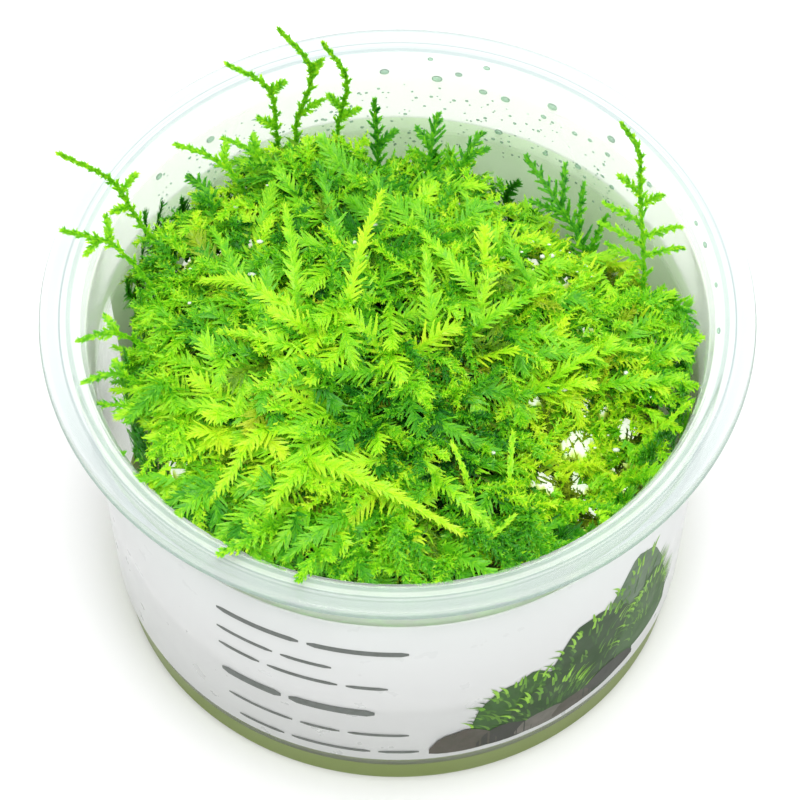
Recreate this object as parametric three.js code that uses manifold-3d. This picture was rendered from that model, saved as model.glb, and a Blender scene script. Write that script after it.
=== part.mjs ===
// Christmas moss grown in a clear plastic tub, with a sleeve label and a disc of gel on the floor.
// Millimetres, +Z up, origin at the centre of the tub's flat base. The front of the label faces -Y.
import * as THREE from 'three';
import * as BufferGeometryUtils from 'three/addons/utils/BufferGeometryUtils.js';
import Module from 'manifold-3d';

// Driving dimensions of the tub
const RIM_TOP = 59;
const FLANGE_RADIUS = 50;
const FLANGE_THICK = 1.3;
const MOUTH_RADIUS = 45.7;
const BASE_RADIUS = 39.8;
const WALL_DRAFT = 0.075;
const WALL_THICK = 0.8;
const FLOOR_THICK = 0.9;
const TUB_SIDES = 40;

// Driving dimensions of the label and the gel
const GAP = 0.3;
const LABEL_BOTTOM = 7;
const LABEL_TOP = 46.2;
const LABEL_THICK = 0.3;
const GEL_TOP = 9.5;

// Driving dimensions of the moss cushion
const CUSHION_SIDES = 28;
const CUSHION_RADIUS = 40.6;
const CUSHION_EDGE_HEIGHT = 54.5;
const DOME_RISE = 9;
const FROND_COUNT = 15;
const FROND_LENGTH = 16;
const FROND_WIDTH = 7.5;
const FROND_THICK = 3;
const FROND_SIDES = 4;
const FROND_OVERHANG = 1.4;
const LEADING_FROND_WIDTH = 6;
const CATKIN_WIDTH = 2.4;
const ROOT_DEPTH = 1.6;

// Where the cushion falls short of the wall: direction in degrees, depth, sharpness
const RECESSES = [
  [75, 13, 1.5],
  [178, 4.4, 9],
];

// Driving dimensions of the free shoots
const SHOOT_RADIUS = 1.1;
const SHOOT_SIDES = 5;
const TWIG_RADIUS = 0.8;
const TWIG_SIDES = 4;
const SHOOT_CLEARANCE = 0.35;
const STEEP_CLIMB = 0.6;

const wasm = await Module();
wasm.setup();

// Materials
const clearPlastic = new THREE.MeshStandardMaterial({ color: 0xeef3f2, roughness: 0.15, metalness: 0 });
clearPlastic.transparent = true;
clearPlastic.opacity = 0.4;
const labelFilm = new THREE.MeshStandardMaterial({ color: 0xf0f1ef, roughness: 0.35, metalness: 0 });
const gelJelly = new THREE.MeshStandardMaterial({ color: 0x93a667, roughness: 0.2, metalness: 0 });
const mossGreen = new THREE.MeshStandardMaterial({ color: 0x62b31e, roughness: 0.75, metalness: 0 });
const shootGreen = new THREE.MeshStandardMaterial({ color: 0x7ec422, roughness: 0.7, metalness: 0 });

// A steady value from 0 to 1 for the given item and purpose
function scatter(item, purpose) {
  const value = Math.sin(item * 12.9898 + purpose * 78.233) * 43758.5453;
  return value - Math.floor(value);
}

// Closed mesh to solid and back
function toSolid(geometry) {
  const bare = geometry.index ? geometry.toNonIndexed() : geometry.clone();
  bare.deleteAttribute('normal');
  bare.deleteAttribute('uv');
  const merged = BufferGeometryUtils.mergeVertices(bare, 1e-4);
  const vertProperties = new Float32Array(merged.attributes.position.array);
  const triVerts = new Uint32Array(merged.index.array);
  return new wasm.Manifold(new wasm.Mesh({ numProp: 3, vertProperties, triVerts }));
}

function toGeometry(solid) {
  const mesh = solid.getMesh();
  const geometry = new THREE.BufferGeometry();
  geometry.setAttribute('position', new THREE.Float32BufferAttribute(mesh.vertProperties, 3));
  geometry.setIndex(Array.from(mesh.triVerts));
  geometry.computeVertexNormals();
  return geometry;
}

// A turned solid whose profile gives radius and height, with the axis along Z
function turned(profile, sides) {
  const points = profile.map(([radius, height]) => new THREE.Vector2(radius, height));
  const geometry = new THREE.LatheGeometry(points, sides);
  geometry.rotateX(Math.PI / 2);
  return geometry;
}

function wallOutside(height) {
  return BASE_RADIUS + height * WALL_DRAFT;
}

function wallInside(height) {
  return wallOutside(height) - WALL_THICK;
}

// The tub: flat base, drafted wall, flared neck and a flange with a raised inner land
function tubSolid() {
  const underside = RIM_TOP - FLANGE_THICK;
  const neck = RIM_TOP - 2.6;
  const profile = [
    [0, 0],
    [BASE_RADIUS - 1.3, 0],
    [BASE_RADIUS - 0.3, 0.5],
    [wallOutside(1.8), 1.8],
    [wallOutside(LABEL_TOP), LABEL_TOP],
    [wallOutside(neck - 1.2), neck - 1.2],
    [wallOutside(neck) + 0.6, neck + 0.6],
    [MOUTH_RADIUS + 0.6, underside],
    [FLANGE_RADIUS - 0.2, underside],
    [FLANGE_RADIUS, underside + 0.4],
    [FLANGE_RADIUS - 0.4, RIM_TOP - 0.5],
    [FLANGE_RADIUS - 1.9, RIM_TOP],
    [MOUTH_RADIUS, RIM_TOP],
    [MOUTH_RADIUS - 1.2, RIM_TOP - 0.6],
    [wallInside(neck) + 0.35, neck + 0.3],
    [wallInside(neck - 1.4), neck - 1.4],
    [wallInside(2.6), 2.6],
    [wallInside(2.6) - 1.4, FLOOR_THICK],
    [0, FLOOR_THICK],
  ];
  return turned(profile, TUB_SIDES);
}

// The label: a thin sleeve that follows the wall's draft
function labelSolid() {
  const inside = (height) => wallOutside(height) + GAP;
  const outside = (height) => inside(height) + LABEL_THICK;
  const profile = [
    [inside(LABEL_BOTTOM), LABEL_BOTTOM],
    [outside(LABEL_BOTTOM), LABEL_BOTTOM],
    [outside(LABEL_TOP), LABEL_TOP],
    [inside(LABEL_TOP), LABEL_TOP],
    [inside(LABEL_BOTTOM), LABEL_BOTTOM],
  ];
  return turned(profile, TUB_SIDES);
}

// The gel: a disc on the floor that follows the wall
function gelSolid() {
  const bottom = FLOOR_THICK + GAP;
  const profile = [
    [0, bottom],
    [wallInside(2.6) - 1.8, bottom],
    [wallInside(3.2) - GAP, 3.2],
    [wallInside(GEL_TOP) - GAP, GEL_TOP],
    [0, GEL_TOP],
  ];
  return turned(profile, TUB_SIDES);
}

// A round bump of the given height and spread
function bump(x, y, centreX, centreY, spread, height) {
  const away = ((x - centreX) ** 2 + (y - centreY) ** 2) / spread ** 2;
  return height * Math.exp(-away);
}

// Reach of the cushion from the axis at an angle: it fills the tub but for its recesses
function cushionReach(angle) {
  const lumps = Math.sin(5 * angle + 0.6) + 0.6 * Math.sin(9 * angle + 2);
  let reach = CUSHION_RADIUS + 0.4 * lumps;
  RECESSES.forEach(([direction, depth, sharpness]) => {
    const share = Math.max(0, Math.cos(angle - THREE.MathUtils.degToRad(direction)));
    reach -= depth * share ** sharpness;
  });
  return reach;
}

// Height of the cushion's top, with its hollows and swellings
function cushionTop(x, y) {
  const share = Math.hypot(x, y) / cushionReach(Math.atan2(y, x));
  let height = CUSHION_EDGE_HEIGHT + DOME_RISE * (1 - Math.min(1, share) ** 2.4);
  height += bump(x, y, -22, -12, 13, 2.5);
  height += bump(x, y, -13, 24, 9, 6);
  height += bump(x, y, 14, 8, 10, 1.5);
  height -= bump(x, y, 26, -20, 11, 9);
  height -= bump(x, y, 25, 20, 10, 7);
  height -= bump(x, y, -5, -16, 5, 4);
  height -= bump(x, y, 14, -15, 7, 5);
  height += 0.9 * Math.sin(0.55 * x + 1.3) * Math.cos(0.5 * y);
  return height;
}

// The cushion's body: a side that stands in the tub, and a lumpy top
function cushionBody() {
  const bottom = GEL_TOP + GAP;
  const sideShares = [
    [0.9, bottom],
    [0.96, 22],
    [0.99, 38],
  ];
  const topShares = [1, 0.88, 0.74, 0.58, 0.4, 0.2];
  const rings = [[0, bottom], ...sideShares.map(([share, height]) => [share * CUSHION_RADIUS, height])];
  topShares.forEach((share) => rings.push([share * CUSHION_RADIUS, RIM_TOP]));
  rings.push([0, RIM_TOP]);
  const geometry = turned(rings, CUSHION_SIDES);
  const position = geometry.attributes.position;
  for (let i = 0; i < position.count; i += 1) {
    const x = position.getX(i);
    const y = position.getY(i);
    const radius = Math.hypot(x, y);
    const angle = Math.atan2(y, x);
    const stretch = radius > 1e-3 ? cushionReach(angle) / CUSHION_RADIUS : 1;
    const newX = x * stretch;
    const newY = y * stretch;
    const onTop = position.getZ(i) > RIM_TOP - 1;
    position.setXYZ(i, newX, newY, onTop ? cushionTop(newX, newY) : position.getZ(i));
  }
  return toSolid(geometry);
}

// The direction that a form's flat side faces: upward, or to the back where the route climbs steeply
function facing(route) {
  const climb = route[route.length - 1].clone().sub(route[0]).normalize().z;
  return Math.abs(climb) > STEEP_CLIMB ? new THREE.Vector3(0, 1, 0) : new THREE.Vector3(0, 0, 1);
}

// A tapering form along a curve: sections give place along it, and half width and half thickness as shares
function spindle(route, halfWidth, halfThick, sections, sides) {
  const curve = new THREE.CatmullRomCurve3(route);
  const profile = sections.map(([along, share]) => new THREE.Vector2(share, along));
  const geometry = new THREE.LatheGeometry(profile, sides);
  const position = geometry.attributes.position;
  const face = facing(route);
  for (let i = 0; i < position.count; i += 1) {
    const along = position.getY(i);
    const centre = curve.getPoint(along);
    const tangent = curve.getTangent(along);
    const side = new THREE.Vector3().crossVectors(tangent, face).normalize();
    const lift = new THREE.Vector3().crossVectors(side, tangent).normalize();
    centre.addScaledVector(side, position.getX(i) * halfWidth);
    centre.addScaledVector(lift, position.getZ(i) * halfThick);
    position.setXYZ(i, centre.x, centre.y, centre.z);
  }
  return toSolid(geometry);
}

// A fir-like outline: side branches swell it and the gaps between them pinch it
const FROND_SECTIONS = [
  [0, 0],
  [0.12, 0.7],
  [0.3, 1],
  [0.44, 0.6],
  [0.62, 0.8],
  [0.76, 0.4],
  [1, 0],
];
const SHOOT_SECTIONS = [
  [0, 0],
  [0.02, 0.8],
  [0.2, 1],
  [0.38, 0.72],
  [0.56, 0.95],
  [0.72, 0.66],
  [0.88, 0.85],
  [1, 0],
];
const TWIG_SECTIONS = [
  [0, 0],
  [0.06, 0.8],
  [0.6, 1],
  [1, 0],
];

// One frond of the cushion, rooted under its top and leaning outward
function cushionFrond(item) {
  const golden = Math.PI * (3 - Math.sqrt(5));
  const angle = item * golden;
  const reach = cushionReach(angle) * 0.9 * Math.sqrt((item + 0.5) / FROND_COUNT);
  const outward = reach / CUSHION_RADIUS;
  const heading = angle + (scatter(item, 1) - 0.5) * (2.6 - 1.4 * outward);
  const length = FROND_LENGTH * (0.75 + 0.5 * scatter(item, 2)) * (1 - 0.25 * outward);
  const forward = new THREE.Vector3(Math.cos(heading), Math.sin(heading), 0);
  const place = (along, lift) => {
    const spot = new THREE.Vector3(reach * Math.cos(angle), reach * Math.sin(angle), 0);
    spot.addScaledVector(forward, along * length);
    const radius = Math.hypot(spot.x, spot.y);
    const limit = cushionReach(Math.atan2(spot.y, spot.x)) + FROND_OVERHANG;
    if (radius > limit) spot.multiplyScalar(limit / radius);
    spot.z = cushionTop(spot.x, spot.y) + lift;
    return spot;
  };
  const rise = 1.2 + 3.6 * scatter(item, 3);
  const tip = [place(0.4, 0.6 + rise * 0.6), place(0.62, rise)];
  const route = [place(-0.35, -ROOT_DEPTH), place(0.05, 0.6), ...tip];
  return spindle(route, FROND_WIDTH / 2, FROND_THICK / 2, FROND_SECTIONS, FROND_SIDES);
}

// The longest fronds lie over the others, each along points of x, y and height over the cushion's top.
// The first point of each is its root, just under the top.
const at = (x, y, z) => new THREE.Vector3(x, y, z);
const over = (x, y, lift) => at(x, y, cushionTop(x, y) + lift);
const LEADING_FRONDS = [
  [[-8, -6.5], [-6.8, -2.5, 2.4], [-4.6, 6, 4.4], [-2.2, 13.4, 6.6]],
  [[-15, -23], [-10, -27.5, 2.6], [-2.4, -31.1, 3.4], [8.7, -36.8, 3.6]],
  [[-12, -4], [-17, -1.5, 1.8], [-22, 1.2, 2.6], [-27.2, 3.2, 3]],
  [[-17, -20], [-19.5, -23, 2.4], [-23, -28, 3], [-26.4, -31.8, 2.8]],
  [[-11, -25], [-14, -28.5, 2.6], [-16.6, -32, 2.6], [-18.9, -35.7, 1.8]],
  [[8, -7], [13, -4.4, 2.6], [18, -1, 3], [22.6, 2, 2.6]],
  [[15, -13], [21, -11, 2.4], [27, -8, 3.4], [33.4, -5.6, 2.6]],
  [[3, -27], [7, -31, 2.4], [12, -35, 3], [16.6, -38.4, 2.2]],
  [[-18.6, -20], [-24.4, -18.3, 2], [-29.9, -17.4, 2], [-35.3, -15.5, 1]],
  [[-23.7, -13.5], [-28.6, -10.6, 2], [-34.3, -6.6, 2], [-39.4, -3.8, 1.2]],
  [[-21.6, -26.6], [-27.1, -25, 2], [-32, -22.8, 1.6], [-36.2, -19.9, 1]],
  [[-9.3, -7.5], [-14.8, -10.1, 2], [-18.6, -9.3, 2.6], [-24.6, -6.3, 2]],
  [[13.1, -2.7], [9.7, 0.3, 2.4], [5.9, 4.4, 3.2], [2.8, 9.4, 3]],
  [[16.3, 3.3], [13.5, 8.2, 2.2], [10.8, 13.7, 2.6], [8.4, 20.6, 2.4]],
  [[19.7, -3.1], [18.3, 1.4, 2], [16.3, 5, 2.6], [14.6, 12.3, 2.2]],
  [[5.8, -9], [4.7, -4.6, 2.4], [4.2, 0.9, 3], [3.8, 6, 2.8]],
  [[24.6, -11], [29.4, -10.4, 2.4], [34.9, -10.6, 3], [40, -8.7, 2]],
  [[14.9, -8.5], [20.4, -8, 2.4], [25.9, -7.3, 2.4], [31.5, -5.5, 2]],
  [[14.2, -5], [19.7, -6, 2], [24.5, -6.3, 2.4], [28.7, -8.5, 2]],
  [[16.7, -35.4], [19.5, -34.1, 1.4], [22.3, -31.6, 2], [25.8, -29.1, 2]],
  [[0.3, -33.3], [1.7, -37, 1], [3.7, -39.2, 1], [5.8, -41.2, 0.6]],
  [[-9.2, -33.1], [-8.5, -36.6, 1], [-7.8, -39.4, 1], [-7.2, -41.4, 0.6]],
  [[-1.7, -30.8], [-4.4, -34.6, 1], [-6.5, -37.6, 1.4], [-9.2, -40.4, 0.8]],
  [[-13.5, -6.6], [-14.2, 0.9, 2.4], [-14.9, 7.3, 3], [-15.7, 14.1, 2.8]],
  [[-8, 5.6], [-8.7, 10.6, 2], [-10.1, 16.5, 2.2], [-11.1, 21.3, 2]],
  [[-20.4, -1.1], [-22.6, 4.4, 2], [-24.4, 8.7, 2.6], [-25.9, 13.2, 2]],
  [[0.3, -11.2], [-3.8, -12.1, 1.6], [-8.6, -13.3, 2], [-13.4, -13, 2]],
  [[3.1, -16.7], [6.5, -21, 1.6], [9.9, -22.4, 2], [14.1, -23, 2]],
  [[8.6, -12.1], [12.8, -12.8, 1.6], [16.9, -12.1, 2], [21.8, -11.7, 2]],
];
const CATKINS = [
  [[15.4, -31.2], [15.3, -28.7, 2], [15.5, -25.2, 4.4], [15.8, -21.3, 6.4]],
  [[10.6, -34.4], [10.2, -31.3, 2], [8.9, -28.1, 3.4], [7.4, -24.1, 3.4]],
  [[7.8, -39], [9.9, -38.6, 1.8], [12.9, -37, 3.2], [16, -33.8, 3.6]],
  [[22.3, -28.6], [28, -22.4, 2.8], [33.8, -18.6, 4.4], [40, -15.6, 6.6]],
];

function leadingFrond([root, ...points], width) {
  const route = [over(...root, -ROOT_DEPTH), ...points.map((point) => over(...point))];
  return spindle(route, width / 2, Math.min(width, FROND_THICK) / 2, FROND_SECTIONS, FROND_SIDES);
}

// The free shoots: the stem's route from its root in the cushion to its tip, then its twigs as start, end
const SHOOTS = [
  {
    name: 'shoot_back_tall',
    route: [[-13.5, 26.5, 55], [-14.3, 29.2, 63], [-12, 29.2, 76], [-16.5, 29.1, 86]],
    twigs: [[[-14.2, 29.4, 65], [-10.4, 29.6, 69]], [[-12.1, 29.2, 75], [-10.6, 29.4, 78.5]]],
  },
  {
    name: 'shoot_back_bent',
    route: [[-16.2, 25.8, 55], [-17, 28, 62], [-18, 28.4, 73], [-23.8, 27.5, 80]],
    twigs: [[[-17.8, 28.4, 71.5], [-15.8, 28.6, 74.5]], [[-17.2, 28.2, 64], [-19.6, 28.4, 66]]],
  },
  {
    name: 'shoot_back_curled',
    route: [[-9, 27, 55], [-8.4, 29.4, 63], [-7.1, 29.2, 74], [-10.4, 29.3, 82.5]],
    twigs: [[[-8.2, 29.5, 64], [-5.4, 30.2, 66]], [[-7.8, 29.4, 67], [-9.8, 29.7, 69.5]]],
  },
  {
    name: 'shoot_back_dark',
    route: [[-2.8, 22, 57], [-2.8, 25, 63], [-3.3, 28.4, 70.5]],
    twigs: [[[-2.8, 25.2, 63.5], [-0.2, 26.4, 66]]],
  },
  {
    name: 'shoot_far_left',
    route: [[-32, 11.4, 54.5], [-36.7, 13.6, 63.5], [-40, 14.6, 70.5], [-46.8, 12.8, 79]],
    twigs: [[[-37.4, 13.8, 65], [-39.8, 11.4, 67]], [[-38.6, 14.2, 67.5], [-36.4, 16, 70]]],
  },
  {
    name: 'shoot_left_spur',
    route: [[-32.6, 4.8, 54.8], [-38.7, 8.2, 62.6], [-42.5, 8.6, 65], [-46.6, 8.3, 67]],
    twigs: [[[-39.8, 8.4, 63.4], [-40.6, 11.4, 66.4]], [[-41.6, 8.6, 64.4], [-43.2, 5.6, 65]]],
  },
  {
    name: 'shoot_left_short',
    route: [[-20, 19, 57], [-23, 21.6, 62], [-27, 23, 65], [-31.2, 23.6, 66.4]],
    twigs: [[[-24.4, 22.2, 63], [-24.2, 25, 65]]],
  },
  {
    name: 'shoot_left_back',
    route: [[-16.4, 23, 56], [-19.4, 24.2, 62], [-21.6, 25.2, 63.8], [-24.6, 26, 64.6]],
    twigs: [[[-19.8, 24.4, 62.4], [-20.4, 26.8, 64.4]]],
  },
  {
    name: 'shoot_left_dark',
    route: [[-24.4, 13.6, 55], [-26, 16.8, 61], [-27.4, 19.4, 62.4], [-29.6, 21, 62.2]],
    twigs: [[[-26.2, 17.2, 61.2], [-28.6, 17.4, 62.4]]],
  },
  {
    name: 'shoot_left_low',
    route: [[-32, -4.8, 54.8], [-38, -5.4, 61.4], [-41, -6, 62.4], [-44.2, -7, 62.2]],
    twigs: [[[-38.6, -5.4, 61.6], [-40.6, -3, 62.6]]],
  },
  {
    name: 'shoot_left_lower',
    route: [[-32.4, -10.8, 54.6], [-38, -11.6, 60.6], [-40.6, -12.2, 61.4], [-43.4, -13.2, 61]],
    twigs: [[[-37.6, -11.6, 60.2], [-39.2, -9.4, 61]]],
  },
  {
    name: 'shoot_right_feather',
    route: [[33.6, 3, 50], [34.4, 7, 58], [33.8, 13, 67], [33.4, 16, 75], [30.8, 17, 80.4]],
    twigs: [
      [[34.3, 8, 59.6], [29, 9.4, 62.4]],
      [[34.2, 9.6, 61.8], [28, 11.2, 65]],
      [[34, 11.4, 64.4], [28.6, 12.8, 67.4]],
      [[33.8, 13.6, 68], [30.6, 14.4, 71.6]],
      [[34.2, 8.6, 60.4], [39.8, 8.8, 62.4]],
      [[34.1, 10.2, 62.8], [39.4, 10.4, 65.2]],
      [[33.8, 12.8, 66.6], [36.8, 12.6, 69.6]],
    ],
  },
  {
    name: 'shoot_right_fan',
    route: [[27, 12, 49], [26, 16, 53], [22.4, 21, 56.6], [18, 27, 59]],
    twigs: [
      [[26.6, 14, 51.4], [29.4, 18, 57.4]],
      [[25.4, 17.6, 54.2], [26.2, 22.6, 58.6]],
      [[23.2, 20.2, 56], [23.6, 25.4, 59.4]],
      [[24.2, 19, 55.2], [18.6, 19.8, 58.2]],
    ],
  },
  {
    name: 'shoot_right_arch',
    route: [[36, 5, 53], [39.4, 2, 57.4], [40.8, -2.4, 56.4], [40.2, -7.4, 51]],
    twigs: [[[39.2, 2.2, 57.2], [37.4, -1.4, 59.4]]],
  },
  {
    name: 'shoot_back_twin_left',
    route: [[4.4, 22, 56.5], [4.6, 25.6, 62], [5.6, 29.4, 65.6]],
    twigs: [[[4.7, 26, 62.2], [2.6, 28.4, 63.8]]],
  },
  {
    name: 'shoot_back_twin_right',
    route: [[8, 23, 55.5], [9.2, 26.4, 58.6], [11.8, 30, 60.6]],
    twigs: [[[9.4, 26.6, 58.8], [12.8, 27.2, 60.6]]],
  },
  {
    name: 'shoot_lip_left',
    route: [[-15.5, -34, 56.5], [-18, -37.6, 61], [-21, -39.8, 61.4], [-24.2, -41.4, 60.9]],
    twigs: [[[-18.6, -38, 61.1], [-20.8, -36.4, 61.8]]],
  },
  {
    name: 'shoot_lip_front',
    route: [[-9, -37, 55], [-10.6, -40.2, 60], [-12, -43, 61.2], [-13.4, -45.6, 60.9]],
    twigs: [[[-10.8, -40.6, 60.3], [-8.6, -42.4, 61.4]]],
  },
];

function shootSolid(plan, swell) {
  const thick = SHOOT_RADIUS + swell;
  const twigThick = TWIG_RADIUS + swell;
  const stem = plan.route.map((point) => at(...point));
  let solid = spindle(stem, thick, thick, SHOOT_SECTIONS, SHOOT_SIDES);
  plan.twigs.forEach(([root, tip]) => {
    const start = at(...root);
    const end = at(...tip);
    const middle = start.clone().lerp(end, 0.5);
    middle.z += 0.3;
    solid = solid.add(spindle([start, middle, end], twigThick, twigThick, TWIG_SECTIONS, TWIG_SIDES));
  });
  return solid;
}

// A socket can leave a sliver beside it: only the cushion itself stays
function withoutSlivers(solid) {
  const bodies = solid.decompose();
  return bodies.reduce((largest, body) => (body.volume() > largest.volume() ? body : largest));
}

// Everything in place
const moss = new THREE.Group();

function addPiece(name, geometry, material) {
  const mesh = new THREE.Mesh(geometry, material);
  mesh.name = name;
  moss.add(mesh);
}

let cushion = cushionBody();
for (let item = 0; item < FROND_COUNT; item += 1) cushion = cushion.add(cushionFrond(item));
LEADING_FRONDS.forEach((points) => {
  cushion = cushion.add(leadingFrond(points, LEADING_FROND_WIDTH));
});
CATKINS.forEach((points) => {
  cushion = cushion.add(leadingFrond(points, CATKIN_WIDTH));
});
SHOOTS.forEach((plan) => {
  cushion = cushion.subtract(shootSolid(plan, SHOOT_CLEARANCE));
});
cushion = withoutSlivers(cushion);

addPiece('tub', toGeometry(toSolid(tubSolid())), clearPlastic);
addPiece('label_sleeve', toGeometry(toSolid(labelSolid())), labelFilm);
addPiece('nutrient_gel', toGeometry(toSolid(gelSolid())), gelJelly);
addPiece('moss_cushion', toGeometry(cushion), mossGreen);
SHOOTS.forEach((plan) => addPiece(plan.name, toGeometry(shootSolid(plan, 0)), shootGreen));

export default moss;
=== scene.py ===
# Christmas moss grown in a clear tub with a sleeve label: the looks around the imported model.
# Metres, +Z up. The label's front faces -Y. The moss is laid out in millimetres and meshed in metres.
import math

import bmesh
import bpy
import numpy as np
from mathutils import Matrix, Vector


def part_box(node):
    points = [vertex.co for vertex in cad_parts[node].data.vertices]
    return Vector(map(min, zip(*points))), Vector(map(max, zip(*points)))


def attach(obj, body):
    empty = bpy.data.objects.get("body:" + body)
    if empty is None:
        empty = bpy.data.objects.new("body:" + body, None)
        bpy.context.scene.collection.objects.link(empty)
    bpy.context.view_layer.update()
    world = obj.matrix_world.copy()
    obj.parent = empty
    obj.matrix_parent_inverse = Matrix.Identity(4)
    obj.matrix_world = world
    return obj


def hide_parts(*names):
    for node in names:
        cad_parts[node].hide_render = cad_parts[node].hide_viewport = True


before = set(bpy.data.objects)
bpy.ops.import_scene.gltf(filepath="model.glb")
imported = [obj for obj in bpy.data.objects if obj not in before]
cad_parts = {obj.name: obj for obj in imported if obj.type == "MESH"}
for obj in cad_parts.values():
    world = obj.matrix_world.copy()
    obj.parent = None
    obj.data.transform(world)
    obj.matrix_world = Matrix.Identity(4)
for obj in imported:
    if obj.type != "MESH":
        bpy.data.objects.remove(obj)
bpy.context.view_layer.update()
scene = bpy.context.scene

MM = 0.001

# Driving dimensions of the tub, the label and the gel, as in the frame
RIM_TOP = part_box("tub")[1].z
FLANGE_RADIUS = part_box("tub")[1].x
FLANGE_THICK = 1.3 * MM
MOUTH_RADIUS = 45.7 * MM
BASE_RADIUS = 39.8 * MM
WALL_DRAFT = 0.075
WALL_THICK = 0.8 * MM
FLOOR_THICK = 0.9 * MM
INNER_CORNER = 1.6 * MM
GAP = 0.3 * MM
LABEL_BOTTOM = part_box("label_sleeve")[0].z
LABEL_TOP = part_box("label_sleeve")[1].z
LABEL_THICK = 0.3 * MM
GEL_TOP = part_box("nutrient_gel")[1].z
TURN_STEPS = 144

# Driving dimensions of the moss, in millimetres
CUSHION_RADIUS = 40.6
BACK_RECESS = (75, 13, 1.5)
LEFT_RECESS = (178, 4.4, 9)
CUSHION_EDGE_HEIGHT = 54.5
DOME_RISE = 9
MAIN_FRONDS = 15
FROND_LENGTH = 16
FROND_OVERHANG = 1.4
ROOT_DEPTH = 1.6
VIEW_WAY = np.array((0.0, -0.57, 0.82))


# Materials

SHADER = "Principled BSDF"


def feed(tree, entry, value):
    """Links a socket into an input, or sets the input to a plain value."""
    if isinstance(value, bpy.types.NodeSocket):
        tree.links.new(value, entry)
    else:
        entry.default_value = value


def feed_named(tree, node, **inputs):
    """Feeds a node's inputs by their names, where an underscore stands for a space."""
    for name, value in inputs.items():
        feed(tree, node.inputs[name.replace("_", " ")], value)


def feed_shader(tree, **inputs):
    """Feeds the named inputs of a material's Principled shader."""
    feed_named(tree, tree.nodes[SHADER], **inputs)


def add_node(tree, kind, **inputs):
    """Adds a node of a kind with its inputs fed, and gives its outputs."""
    node = tree.nodes.new(kind)
    feed_named(tree, node, **inputs)
    return node.outputs


def mottle_group():
    """Uneven patches: a value from Low to High that wanders over the surface, and a faint relief to match."""
    group = bpy.data.node_groups.new("mottle", "ShaderNodeTree")
    for name in ("Scale", "Low", "High", "Relief"):
        group.interface.new_socket(name=name, in_out="INPUT", socket_type="NodeSocketFloat")
    group.interface.new_socket(name="Value", in_out="OUTPUT", socket_type="NodeSocketFloat")
    group.interface.new_socket(name="Normal", in_out="OUTPUT", socket_type="NodeSocketVector")
    inlet = add_node(group, "NodeGroupInput")
    place = add_node(group, "ShaderNodeTexCoord")
    noise = add_node(group, "ShaderNodeTexNoise", Vector=place["Object"], Scale=inlet["Scale"], Detail=4.0)
    ends = {"From_Min": 0.3, "From_Max": 0.7, "To_Min": inlet["Low"], "To_Max": inlet["High"]}
    spread = add_node(group, "ShaderNodeMapRange", Value=noise["Fac"], **ends)
    height = {"Height": noise["Fac"], "Distance": 0.1 * MM}
    relief = add_node(group, "ShaderNodeBump", Strength=inlet["Relief"], **height)
    outlet = group.nodes.new("NodeGroupOutput")
    feed_named(group, outlet, Value=spread["Result"], Normal=relief["Normal"])
    return group


MOTTLE = mottle_group()


def new_material(name, **inputs):
    """A material with one Principled shader, whose named inputs are fed, and its node tree."""
    material = bpy.data.materials.new(name)
    material.use_nodes = True
    feed_shader(material.node_tree, **inputs)
    return material, material.node_tree


def add_mottle(tree, scale, low, high, relief=0.0):
    """Places the mottle group in a material with values of its own, and gives its outputs."""
    node = tree.nodes.new("ShaderNodeGroup")
    node.node_tree = MOTTLE
    feed_named(tree, node, Scale=scale, Low=low, High=high, Relief=relief)
    return node.outputs


def uneven_gloss(tree, scale, smoothest, roughest, relief=0.0):
    """A roughness that wanders between two values, with a faint relief where one is given."""
    mottle = add_mottle(tree, scale, smoothest, roughest, relief)
    feed_shader(tree, Roughness=mottle["Value"])
    if relief:
        feed_shader(tree, Normal=mottle["Normal"])


def math_node(tree, operation, *values):
    """A Math node fed by sockets or numbers; gives its result socket."""
    node = tree.nodes.new("ShaderNodeMath")
    node.operation = operation
    for entry, value in zip(node.inputs, values):
        feed(tree, entry, value)
    return node.outputs[0]


def mix_colours(tree, share, first, second):
    """Mixes two colours, each a socket or four numbers, by a share."""
    node = tree.nodes.new("ShaderNodeMix")
    node.data_type = "RGBA"
    for name, value in (("Factor", share), ("A", first), ("B", second)):
        entry = [entry for entry in node.inputs if entry.name == name and entry.enabled][0]
        feed(tree, entry, value)
    return [result for result in node.outputs if result.enabled][0]


def colour_ramp(tree, share, stops):
    """A colour ramp over a share, from stops of place and colour."""
    node = tree.nodes.new("ShaderNodeValToRGB")
    ramp = node.color_ramp
    for element, (place, colour) in zip((ramp.elements[0], ramp.elements[1]), (stops[0], stops[-1])):
        element.position = place
        element.color = (*colour, 1.0)
    for place, colour in stops[1:-1]:
        ramp.elements.new(place).color = (*colour, 1.0)
    feed_named(tree, node, Fac=share)
    return node.outputs["Color"]


def object_place(tree):
    """The X, Y and Z of the object's own coordinates."""
    place = add_node(tree, "ShaderNodeTexCoord")
    return add_node(tree, "ShaderNodeSeparateXYZ", Vector=place["Object"])


def held_value(tree, name):
    """What a mesh holds under a name at its points, as a number or a colour."""
    node = tree.nodes.new("ShaderNodeAttribute")
    node.attribute_name = name
    return node.outputs


def blend_shader(tree, share, other):
    """Blends a second shader into the Principled one by a share, as the material's surface."""
    blend = tree.nodes.new("ShaderNodeMixShader")
    for entry, value in zip(blend.inputs, (share, tree.nodes[SHADER].outputs["BSDF"], other)):
        feed(tree, entry, value)
    feed_named(tree, tree.nodes["Material Output"], Surface=blend.outputs["Shader"])


def let_lamps_through(tree, tint):
    """Lamplight passes a thin clear wall straight, where it would otherwise be held back as a shadow."""
    path = add_node(tree, "ShaderNodeLightPath")
    through = add_node(tree, "ShaderNodeBsdfTransparent", Color=tint)
    blend_shader(tree, path["Is Shadow Ray"], through["BSDF"])


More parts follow.
